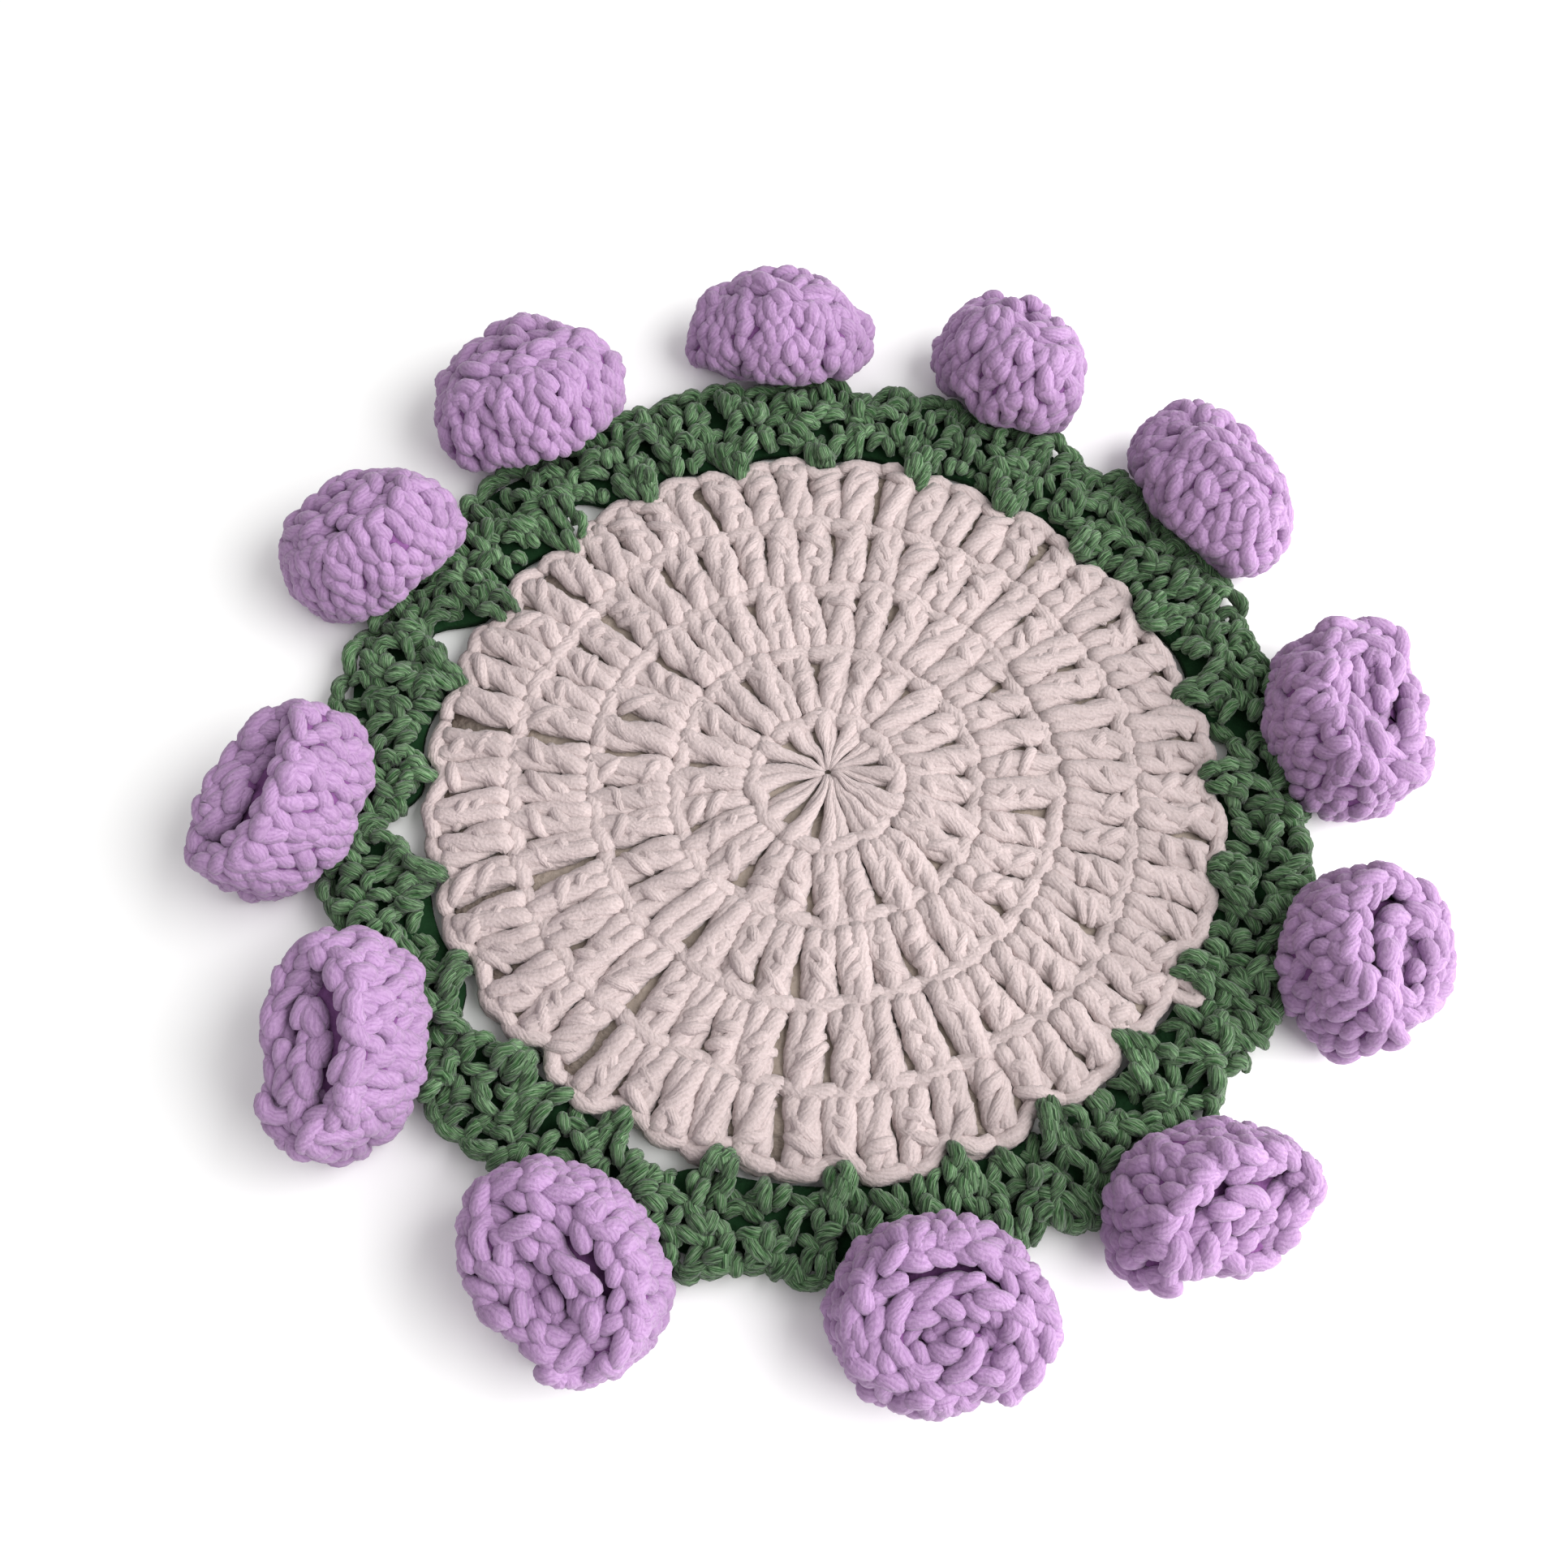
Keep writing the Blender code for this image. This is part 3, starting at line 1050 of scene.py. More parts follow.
    def build_cloth(self) -> bpy.types.Object:
        """The cloth between the strands: a thin flat ring, a rounded section carried round.

        Returns:
            The cloth's mesh object.
        """
        bearing = TURN * np.arange(self.cloth_points) / self.cloth_points
        edge = LAY.mat_edge(bearing)[:, None] - self.cloth_margin
        radial = np.array([0.0, 0.33, 0.66, 1.0, 1.0, 0.66, 0.33, 0.0])
        level = np.repeat([self.cloth_low, self.cloth_high], 4)
        radius = self.cloth_hole + (edge - self.cloth_hole) * radial
        rings = self.settle(ground_place(bearing[:, None], radius, level))
        return cloth_object("mat_cloth", rings, bearing * LAY.disc_radius)

    def build(self, rng: np.random.Generator) -> bpy.types.Object:
        """Args:
            rng: Where the unevenness comes from.

        Returns:
            The mat's cloth.
        """
        cloth = self.build_cloth()
        # The cloth wears painted shade, darker than the yarn, seen down in the gaps between the posts.
        dress(cloth, CREAM_PAINTED_SHADE)
        stitches = [self.build_yarn_end(rng)]
        for number in range(1, self.rounds + 1):
            stitches += [self.build_round(number, rng), self.build_chain(number, rng)]
        for piece in stitches:
            dress(piece, CREAM_YARN)
        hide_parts("disc")
        return cloth


# ---------------------------------------------------------------------------------------------
# The border
# ---------------------------------------------------------------------------------------------


class Row(NamedTuple):
    """One row of the border's strokes: how many, from which radius to which in millimetres, how high
    their ends lie and how far their middles rise, and how far they slant and stray, in degrees."""

    name: str
    count: int
    inner: float
    outer: float
    height: float
    lift: float
    slant: float
    stray: float


# name, count, inner, outer, height, lift, slant, stray
ROWS = (
    Row("inner", 190, 52.5, 56.4, 2.1, 1.1, 18.0, 26.0),
    Row("nearer", 196, 56.0, 58.8, 2.7, 1.2, 30.0, 30.0),
    Row("middle", 160, 58.0, 60.6, 3.3, 1.1, 50.0, 30.0),
    Row("further", 200, 59.9, 62.7, 2.9, 1.2, 28.0, 30.0),
    Row("outer", 210, 62.0, 64.9, 2.2, 1.1, 16.0, 26.0),
)


@dataclass
class Border:
    """The green border: a base ring, feet that hook over the mat's edge, rows of short strokes across
    the band, and a chain along the outer edge."""

    feet: int = 24
    foot_strands: int = 4
    loops: int = 112
    foot_tip: float = 50.3 * MM
    # A foot's first set of strokes spreads this far either way and stands back at its sides; the
    # second set starts a step further out, is wider by the flare and lies lower by the drop.
    foot_spread: float = 1.5 * MM
    foot_back: float = 0.9 * MM
    foot_step: float = 2.5 * MM
    foot_flare: float = 0.8 * MM
    foot_drop: float = 0.3 * MM
    foot_length: float = 3.2 * MM
    foot_height: float = 3.1 * MM
    foot_arch: float = 1.7 * MM
    tip_dip: float = 0.9 * MM
    side_stray: float = 0.3 * MM
    tip_stray: float = 0.4 * MM
    # The band's inner edge, and how far it opens between the feet.
    inner: float = 52.2 * MM
    opening: float = 0.8 * MM
    far_opening: float = 0.9 * MM
    far_bearing: float = math.radians(100.0)
    arch_spread: float = math.radians(4.6)
    arches: tuple[tuple[float, float], ...] = (
        (136.0, 4.6),
        (164.0, 5.8),
        (193.5, 5.4),
        (224.0, 4.0),
        (254.0, 3.4),
        (375.0, 2.8),
    )
    # The rows' strokes, and how their ends, middles and heights stray.
    stroke_points: int = 7
    stroke_radius: float = 0.98 * MM
    least_stroke: float = 2.7 * MM
    least_row: float = 2.0 * MM
    edge_gap: float = 1.0 * MM
    kink: float = 0.25 * MM
    place_stray: float = 0.3 * MM
    height_stray: float = 0.4 * MM
    clearance: float = 1.15 * MM
    # The chain along the outer edge.
    chain_points: int = 9
    chain_inset: float = 1.7 * MM
    chain_spread: float = 0.85 * MM
    chain_lift: float = 0.8 * MM
    chain_height: float = 2.3 * MM
    chain_stray: float = 0.35 * MM
    chain_bob: float = 0.25 * MM
    yarn: Yarn = Yarn(lay=11.0 * MM, sides=8)
    wander: Wander = Wander(0.8 * MM, 8.0 * MM, 5)
    # The cloth under the yarn, and how far it stays clear of the band's two edges.
    cloth_points: int = 288
    cloth_low: float = 0.7 * MM
    cloth_high: float = 2.0 * MM
    inner_margin: float = 0.6 * MM
    outer_margin: float = 2.4 * MM

    def inner_edge(self, bearing: Array) -> Array:
        """The band's inner radius. It rises between feet as a half cosine by the opening, more on the
        far side, and most at the arches, which are given as bearing in degrees and rise in mm.

        Args:
            bearing: Bearings round the border.

        Returns:
            The radius at each.
        """
        between = (0.5 - 0.5 * np.cos(self.feet * (bearing - LAY.first_foot))) ** 0.7
        rise = self.opening + self.far_opening * np.cos(bearing - self.far_bearing)
        for middle, high in self.arches:
            away = (bearing - math.radians(middle) + math.pi) % TURN - math.pi
            rise = np.maximum(rise, high * MM * np.exp(-((away / self.arch_spread) ** 2)))
        return self.inner + between * rise

    def settle(self, path: Array) -> Array:
        """Shifts points by the border's unevenness, none of them to below its clearance.

        Args:
            path: Points, (..., 3).

        Returns:
            The shifted points.
        """
        moved = self.wander.moved(path)
        moved[..., 2] = np.maximum(moved[..., 2], self.clearance)
        return moved

    def strokes(
        self, name: str, start: Array, finish: Array, lift: float, rng: np.random.Generator
    ) -> bpy.types.Object:
        """Strokes of yarn, each arched from one point to another.

        A stroke is the straight line from start to finish, raised by lift times a half sine and
        bowed sideways a little, and it is plump in the middle.

        Args:
            name: The mesh's name.
            start: Points, (..., 3).
            finish: Points, (..., 3).
            lift: How far each stroke's middle stands up.
            rng: Where the unevenness comes from.

        Returns:
            The strokes' mesh object.
        """
        start = start.reshape(-1, 3)
        way = finish.reshape(-1, 3) - start
        count = len(start)
        share = shares(self.stroke_points)
        bow = np.sin(math.pi * share)[None, :, None]
        path = start[:, None] + way[:, None] * share[:, None]
        sideways = np.cross(way, UPWARDS)[:, None] * rng.normal(0.0, 0.12, (count, 1, 1))
        high = lift * rng.normal(1.0, 0.22, (count, 1, 1))
        path = path + bow * (high * UPWARDS + sideways) + rng.normal(0.0, self.kink, (count, 1, 3))
        radii = self.stroke_radius * plump(share, least=0.6) * rng.normal(1.0, 0.1, (count, 1))
        return strand_object(name, self.settle(path), radii, UPWARDS, self.yarn, rng)

    def build_feet(self, rng: np.random.Generator) -> bpy.types.Object:
        """The feet: short strokes over the mat's edge, side by side, and a second set behind them
        that joins them to the band. The strokes fan out, and the middle ones reach furthest in.

        Args:
            rng: Where the unevenness comes from.

        Returns:
            The feet's mesh object.
        """
        middle = LAY.foot_bearings()[:, None, None]
        spread = np.linspace(-1.0, 1.0, self.foot_strands)[None, None]
        shape = (self.feet, 2, self.foot_strands)
        stage = np.arange(2)[None, :, None]
        side = spread * (self.foot_spread + self.foot_flare * stage)
        side = side + rng.normal(0.0, self.side_stray, shape)
        near = self.foot_tip + self.foot_step * stage + rng.normal(0.0, self.tip_stray, shape)
        near = near + self.foot_back * spread**2
        height = self.foot_height - self.foot_drop * stage
        start = ground_place(middle, near, height - self.tip_dip * (1 - stage), 0.7 * side)
        finish = ground_place(middle, near + self.foot_length, height, 1.15 * side)
        return self.strokes("border_feet", start, finish, self.foot_arch, rng)

    def build_row(self, row: Row, rng: np.random.Generator) -> bpy.types.Object:
        """One row of strokes across the band.

        Stroke i stands at bearing 2πi/count with its middle half way across its row, and slants by
        plus or minus the row's slant in turn, and by chance.

        Args:
            row: The row's sizes.
            rng: Where the unevenness comes from.

        Returns:
            The row's mesh object.
        """
        number = np.arange(row.count)
        bearing = TURN * (number + rng.normal(0.0, 0.16, row.count)) / row.count
        nearer = np.maximum(row.inner * MM, self.inner_edge(bearing) + 0.7 * self.stroke_radius)
        further = np.maximum(row.outer * MM, nearer + self.least_row)
        further = np.minimum(further, LAY.band_edge(bearing) - self.edge_gap)
        slant = np.where(number % 2 == 0, row.slant, -row.slant)
        slant = np.radians(slant + rng.normal(0.0, row.stray, row.count))
        long = np.maximum(further - nearer, self.least_stroke) * rng.normal(1.0, 0.12, row.count)
        middle = 0.5 * (nearer + further) + rng.normal(0.0, self.place_stray, row.count)
        reach, aside = 0.5 * long * np.cos(slant), 0.5 * long * np.sin(slant)
        height = row.height * MM + rng.normal(0.0, self.height_stray, row.count)
        start = ground_place(bearing, middle - reach, height, -aside)
        finish = ground_place(bearing, middle + reach, height, aside)
        return self.strokes(f"border_{row.name}", start, finish, row.lift * MM, rng)

    def build_chain(self, rng: np.random.Generator) -> bpy.types.Object:
        """The chain along the outer edge, its two legs one over the other.

        Args:
            rng: Where the unevenness comes from.

        Returns:
            The chain's mesh object.
        """
        step = TURN / self.loops
        share = shares(self.chain_points)
        pitch = step * LAY.band_radius
        along, across, out = chain_legs(share, pitch, self.chain_spread, self.chain_lift)
        bearing = step * np.arange(self.loops)[:, None, None] + along / LAY.band_radius
        loose = rng.normal(0.0, self.chain_stray, (self.loops, 1, 1))
        radius = LAY.band_edge(bearing) - self.chain_inset + out + loose
        height = self.chain_height + across + rng.normal(0.0, self.chain_bob, (self.loops, 1, 1))
        path = self.settle(ground_place(bearing, radius, height))
        radii = self.stroke_radius * plump(share, least=0.55)
        return strand_object("border_chain", path, radii, UPWARDS, self.yarn, rng)

    def cloth_span(self) -> tuple[Array, Array, Array]:
        """Where the cloth under the strokes runs: between the band's edges, less their margins.

        Returns:
            Bearings round the border, and the cloth's inner and outer radius at each.
        """
        bearing = TURN * np.arange(self.cloth_points) / self.cloth_points
        nearer = self.inner_edge(bearing) + self.inner_margin
        return bearing, nearer, LAY.band_edge(bearing) - self.outer_margin

    def build_cloth(self) -> bpy.types.Object:
        """The cloth between the strokes: a flat ring, a rounded section carried round.

        Returns:
            The cloth's mesh object.
        """
        bearing, nearer, outer = self.cloth_span()
        radial = np.array([0.0, 0.5, 1.0, 1.0, 0.5, 0.0])
        level = np.repeat([self.cloth_low, self.cloth_high], 3)
        radius = nearer[:, None] + (outer - nearer)[:, None] * radial
        rings = ground_place(bearing[:, None], radius, level)
        return cloth_object("border_cloth", rings, bearing * self.inner)

    def build(self, rng: np.random.Generator) -> bpy.types.Object:
        """Args:
            rng: Where the unevenness comes from.

        Returns:
            The border's cloth.
        """
        cloth = self.build_cloth()
        # The cloth wears painted shade, a dark green seen down in the gaps between the strokes.
        dress(cloth, GREEN_PAINTED_SHADE)
        stitches = [
            self.build_feet(rng),
            *[self.build_row(row, rng) for row in ROWS],
            self.build_chain(rng),
        ]
        for piece in stitches:
            dress(piece, GREEN_YARN)
        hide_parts("border")
        return cloth


# ---------------------------------------------------------------------------------------------
# The rosebuds
# ---------------------------------------------------------------------------------------------


class Bud(NamedTuple):
    """One rosebud. Bearings, lean and turn are degrees, lengths millimetres. The strip winds outwards
    anticlockwise where hand is 1, and its outer end lies at the end bearing. The turns inside the
    outer one lie shifted to the coil's bearing, and the innermost to the curl's. The outer rim stands
    lower than the middle by dome, and is drawn in by draw."""

    bearing: float
    reach: float
    width: float
    depth: float
    height: float
    lean: float
    turn: float
    hand: float
    end: float
    coil_way: float
    coil_reach: float
    curl_way: float
    curl_reach: float
    dome: float
    draw: float


# bearing, reach, width, depth, height, lean, turn, hand, end, coil way, reach, curl way, reach,
# dome, draw
BUDS = (
    Bud(102.0, 74.0, 24.8, 19.4, 14.0, 30.0, -20.0, 1, 95, 80, 0.3, 0, 0.3, 3.4, 3.4),
    Bud(74.3, 72.8, 24.6, 18.6, 15.0, 30.0, -30.0, 1, 75, 90, 0.3, 250, 0.5, 3.0, 2.6),
    Bud(45.9, 73.0, 27.0, 18.6, 14.2, 32.0, -9.0, -1, 60, 90, 0.3, 270, 0.5, 3.2, 2.8),
    Bud(14.0, 70.2, 27.2, 21.2, 14.5, 21.0, -8.0, 1, 335, 190, 1.1, 60, 0.6, 1.2, 0.8),
    Bud(346.0, 71.4, 24.2, 20.4, 15.0, 21.0, 10.0, 1, 268, 0, 1.1, 270, 0.8, 1.0, 0.8),
    Bud(315.2, 70.3, 24.0, 17.0, 15.0, 30.0, -11.0, 1, 235, 315, 1.0, 225, 0.8, 1.0, 0.8),
    Bud(287.0, 69.3, 25.0, 22.0, 14.5, 18.0, -6.0, -1, 320, 320, 1.2, 165, 0.8, 1.2, 0.6),
    Bud(251.4, 70.3, 26.8, 20.4, 14.5, 20.0, -20.0, -1, 265, 220, 1.1, 160, 0.8, 1.2, 0.6),
    Bud(220.6, 68.6, 26.8, 17.2, 15.5, 28.0, -40.0, -1, 240, 180, 1.3, 250, 0.5, 1.0, 0.8),
    Bud(193.3, 69.3, 24.2, 16.4, 15.0, 30.0, -45.0, -1, 200, 150, 1.0, 130, 0.8, 1.2, 0.8),
    Bud(160.0, 71.4, 24.8, 19.0, 14.6, 28.0, -50.0, -1, 165, 110, 0.9, 90, 0.6, 2.4, 2.0),
    Bud(133.1, 73.6, 26.6, 23.2, 15.0, 26.0, -35.0, 1, 120, 100, 0.4, 120, 0.4, 3.0, 3.0),
)


class Pull(NamedTuple):
    """Where a bud is pulled out of round: its number, the bearing of the pull from the bud's own
    middle and its spread in degrees, and how far it goes outwards and upwards in millimetres."""

    bud: int
    way: float
    spread: float
    out: float
    rise: float


# bud, way, spread, out, rise
PULLS = (
    Pull(1, 178.0, 24.0, 1.8, 0.0),
    Pull(1, 5.0, 26.0, 1.5, 0.0),
    Pull(1, 118.0, 16.0, 1.0, 0.8),
    Pull(2, 118.0, 20.0, 1.2, 1.0),
    Pull(2, 76.0, 16.0, 1.6, 1.2),
    Pull(2, 98.0, 9.0, -1.4, -0.8),
    Pull(3, 122.0, 26.0, 2.2, 1.0),
    Pull(3, 350.0, 26.0, 1.2, 0.0),
    Pull(4, 78.0, 16.0, 1.2, 0.8),
    Pull(4, 48.0, 12.0, -1.0, -0.5),
    Pull(5, 268.0, 14.0, 1.0, 0.0),
    Pull(6, 24.0, 16.0, 2.0, 0.5),
    Pull(6, 232.0, 15.0, 1.6, 0.0),
    Pull(7, 4.0, 12.0, 1.2, 0.0),
    Pull(8, 268.0, 18.0, 1.2, 0.0),
    Pull(9, 262.0, 20.0, 1.0, 0.0),
    Pull(10, 62.0, 22.0, 1.6, 0.5),
    Pull(10, 240.0, 22.0, 1.0, 0.0),
    Pull(11, 22.0, 18.0, 1.8, 0.6),
    Pull(11, 100.0, 18.0, 0.6, 1.0),
    Pull(12, 20.0, 16.0, 1.4, 0.8),
    Pull(12, 85.0, 22.0, 0.6, 1.4),
    Pull(12, 232.0, 16.0, 1.6, 0.0),
)


@dataclass
class Rosebud:
    """A strip of stitches rolled up into a rosebud and stood on its edge, leaning outwards.

    The strip's middle line is a spiral that grows by the wrap pitch each turn, drawn out into an oval,
    and its end is drawn in on the turn inside it. Stitches are drawn on the strip as along, up and
    out, and the roll carries them round the spiral. Height along the strip is a share of its crest.
    """

    name: str
    number: int
    size: Bud
    # The spiral, whose last seam_turn of a turn is drawn in to seam_step from the turn inside it, the
    # places that its table has in each turn, and the room from the outer turn to the wall's face.
    places: int = 96
    wrap_pitch: float = 3.7 * MM
    centre_radius: float = 1.3 * MM
    seam_step: float = 2.6 * MM
    seam_turn: float = 0.3
    wall_reach: float = 2.8 * MM
    # How the bud stands, and how its wall bellies out, tucks in at its foot and thins at its end.
    edge_points: int = 200
    sunk: float = 0.5 * MM
    belly: float = 0.5 * MM
    tuck: float = 2.2 * MM
    end_taper: float = 5.0 * MM
    # The stitches: pitches along the strip, and the legs, each thinner kind as a share of the radius.
    stitch: float = 4.1 * MM
    loop: float = 3.1 * MM
    rows: int = 6
    filling_rows: int = 3
    leg_radius: float = 1.3 * MM
    wall_leg: float = 0.98
    filling_leg: float = 0.95
    edge_leg: float = 0.9
    clearance: float = 1.56 * MM
    # The wall: how deep a leg's ends dive, how far its middle bulges, and its strays.
    wall_dive: float = 0.7 * MM
    wall_bulge: float = 0.5 * MM
    wall_stray: float = 0.25 * MM
    leg_stray: float = 0.18 * MM
    leg_slant: float = 0.7 * MM
    leg_bob: float = 0.14 * MM
    # The rim and the foot: their heights as shares of the crest, and how far their strokes open.
    rim_height: float = 0.93
    rim_start: float = 0.15 * MM
    rim_opening: float = 1.35 * MM
    rim_arch: float = 0.45 * MM
    foot_height: float = 0.04
    foot_spread: float = 0.8 * MM
    foot_lift: float = 0.5 * MM
    # The filling: its first row lies out on the strip's face, and the next ones further in.
    filling_out: float = 0.9 * MM
    filling_step: float = 2.1 * MM
    loose: float = 0.3 * MM
    tight: float = 0.2 * MM
    # The cloth of the strip and the drum inside it.
    half_thickness: float = 1.4 * MM
    strip_points: int = 130
    strip_short: float = 2.2 * MM
    bed_points: int = 90
    bed: float = 0.86
    cloth_clearance: float = 0.2 * MM
    flat_share: float = 0.9
    # The hand's unevenness, with its own seed for each bud.
    wander_amount: float = 0.5 * MM
    wander_length: float = 7.5 * MM
    wander_seed: int = 40
    yarn: Yarn = Yarn()

    def __post_init__(self) -> None:
        """Works out the roll's path as a fine table, fitted to the bud's width and depth.

        With radius r and turn t, the path is ((r + s)·cos a, r·sin a), where s is half of the width
        less the depth and a goes once round for each turn. The outer turn is then scaled so that
        the wall outside it just fills the width and the depth.
        """
        bud = self.size
        across = (bud.depth * MM - 2.0 * self.wall_reach - 2.0 * self.centre_radius) / self.wrap_pitch
        self.turns = 0.5 * across + 0.25
        turn = np.linspace(0.0, self.turns, round(self.turns * self.places) + 1)
        radius = self.centre_radius + self.wrap_pitch * turn
        drawn = smooth_step((turn - self.turns + self.seam_turn) / self.seam_turn)
        inside = np.interp(turn - 1.0, turn, radius)
        radius = radius + drawn * (inside + self.seam_step - radius)
        longer = 0.5 * (bud.width - bud.depth) * MM
        stretch = longer * np.interp(turn, [0.0, 1.0], [0.85, 1.0])
        angle = self.own_way(bud.end) + bud.hand * TURN * (turn - self.turns)
        path = np.stack([(radius + stretch) * np.cos(angle), radius * np.sin(angle)], axis=-1)

        # Fit the outer turn, then shift the turns inside it, and the innermost, their own ways.
        outer = path[turn >= self.turns - 1.0]
        room = 0.5 * np.array([bud.width, bud.depth]) * MM - self.wall_reach
        half = 0.5 * (outer.max(axis=0) - outer.min(axis=0))
        path = (path - 0.5 * (outer.max(axis=0) + outer.min(axis=0))) * room / half
        self.outerness = smooth_step((turn - (self.turns - 1.1)) / 0.2)
        coil, curl = self.own_way(bud.coil_way), self.own_way(bud.curl_way)
        to_coil = bud.coil_reach * MM * np.array([math.cos(coil), math.sin(coil)])
        to_curl = bud.curl_reach * MM * np.array([math.cos(curl), math.sin(curl)])
        path = path + to_coil * (1.0 - self.outerness)[:, None]
        path = path + to_curl * (1.0 - smooth_step(turn / 0.9))[:, None]

        # Pull it out of round: a bell round the pull's bearing, times the share of the way out.
        way = np.arctan2(path[:, 1], path[:, 0])
        share = np.hypot(*path.T) / np.hypot(*path.T).max()
        self.rise = np.zeros(len(turn))
        for pull in [pull for pull in PULLS if pull.bud == self.number]:
            away = np.abs((way - self.own_way(pull.way) + math.pi) % TURN - math.pi)
            bell = np.exp(-((away / math.radians(pull.spread)) ** 2)) * share
            outwards = np.stack([np.cos(way), np.sin(way)], axis=-1)
            path = path + (bell * pull.out * MM)[:, None] * outwards
            self.rise = self.rise + bell * pull.rise * MM
        self.path = path
        self.ahead = unit(np.gradient(path, axis=0))
        self.across = bud.hand * np.stack([self.ahead[:, 1], -self.ahead[:, 0]], axis=-1)
        steps = np.hypot(*np.diff(path, axis=0).T)
        self.lengths = np.concatenate([[0.0], np.cumsum(steps)])
        self.length = float(self.lengths[-1])
        self.round_length = self.length - float(np.interp(self.turns - 1.0, turn, self.lengths))
        self.crest = bud.height * MM - 0.5 * self.leg_radius - bud.dome * MM * share**2 + self.rise
        self.wander = Wander(self.wander_amount, self.wander_length, self.wander_seed + self.number)

    def own_way(self, way: float) -> float:
        """A bearing on the table, as an angle in the bud's own directions."""
        return math.radians(way - self.size.turn - self.size.bearing + 90.0)

    def looked_up(self, along: Array, table: Array) -> Array:
        """The value of a table of the path at a length along it.

        Args:
            along: Lengths along the strip.
            table: Numbers, (places,), or vectors, (places, axes), one for each place on the path.

        Returns:
            The number or vector at each length, read between the nearest two places.
        """
        if table.ndim == 1:
            return np.interp(along, self.lengths, table)
        return np.stack([np.interp(along, self.lengths, column) for column in table.T], axis=-1)

    def roll(self, along: Array, up: Array, out: Array) -> Array:
        """Carries points of the strip round the spiral, in the bud's own directions.

        The point at length a, height share u and distance out c is the path's point at a, moved c
        along its outward normal, at height u times the strip's crest. The outer turn's wall bellies
        out at its middle, tucks in at its foot, and is drawn in over its top part by a square. The
        strip is half as thick at its end.

        Args:
            along: Length along the strip.
            up: Height as a share of the strip's own.
            out: Distance out from the strip's middle.

        Returns:
            Points, one axis more than the arguments.
        """
        along, up, out = np.broadcast_arrays(along, up, out)
        held = np.clip(along, 0.0, self.length)
        outer = self.looked_up(held, self.outerness)
        out = out * (1.0 - 0.5 * smooth_step((held - self.length) / self.end_taper + 1.0))
        tuck = np.clip(1.0 - up / 0.25, 0.0, 1.0) ** 2
        bend = np.clip((up - 0.4) / 0.6, 0.0, 1.1) ** 2
        belly = self.belly * np.sin(math.pi * np.clip(up, 0.0, 1.0)) - self.tuck * tuck
        reach = out + outer * (belly - self.size.draw * MM * bend)
        flat = self.looked_up(held, self.path) + reach[..., None] * self.looked_up(held, self.across)
        flat = flat + (along - held)[..., None] * self.looked_up(held, self.ahead)
        level = up * self.looked_up(held, self.crest)
        return np.concatenate([flat, level[..., None]], axis=-1)

    def kept(self, along: Array) -> Array:
        """Lengths along the strip, each stroke slid back whole where it would pass the strip's end."""
        return along - np.maximum(along.max(axis=-1, keepdims=True) - self.length, 0.0)

    def outward(self, along: Array) -> Array:
        """The direction away from the strip's outer face, at a length along the strip."""
        flat = self.looked_up(along, self.across)
        return np.concatenate([flat, np.zeros((*flat.shape[:-1], 1))], axis=-1)

    def placing(self) -> Array:
        """The placing of the bud: turned and leaned about its middle, stood on the table a little
        sunk, and carried out to its bearing.

        Returns:
            The matrix from the bud's own directions to the coaster's, (4, 4).
        """
        bud = self.size
        halved = Matrix.Translation((0.0, 0.0, -0.5 * bud.height * MM))
        turned = Matrix.Rotation(math.radians(bud.turn), 4, "Z") @ halved
        leaned = Matrix.Rotation(math.radians(-bud.lean), 4, "X") @ turned
        along = self.length * shares(self.edge_points)
        edge = self.roll(along, np.zeros(self.edge_points), np.zeros(self.edge_points))
        flat = np.array(leaned)
        low = (edge @ flat[:3, :3].T + flat[:3, 3])[:, 2].min()
        stood = Matrix.Translation((0.0, bud.reach * MM, -low - self.sunk)) @ leaned
        return np.array(Matrix.Rotation(math.radians(bud.bearing - 90.0), 4, "Z") @ stood)

    def settle(self, path: Array, clear: float) -> Array:
        """Places points of the bud on the table, with its unevenness.

        Args:
            path: Points in the bud's own directions, (..., 3).
            clear: The least height that a point may have.

        Returns:
            The points in the coaster's directions.
        """
        matrix = self.placing()
        moved = self.wander.moved(path @ matrix[:3, :3].T + matrix[:3, 3])
        moved[..., 2] = np.maximum(moved[..., 2], clear)
        return moved

    def leg_object(
        self, name: str, legs: Sequence[Array], radii: Array | float, rng: np.random.Generator
    ) -> bpy.types.Object:
        """Rolls legs of yarn round the spiral, places them, and makes their mesh.

        Args:
            name: The mesh's name, after the bud's.
            legs: Along, up and out, which broadcast to (..., points).
            radii: Radii that broadcast to the same.
            rng: Where each leg's tone and ply phase come from.

        Returns:
            The mesh object.
        """
        along, up, out = np.broadcast_arrays(*legs)
        facing = self.outward(along) @ self.placing()[:3, :3].T
        path = self.settle(self.roll(along, up, out), self.clearance)
        return strand_object(f"{self.name}_{name}", path, radii, facing, self.yarn, rng)

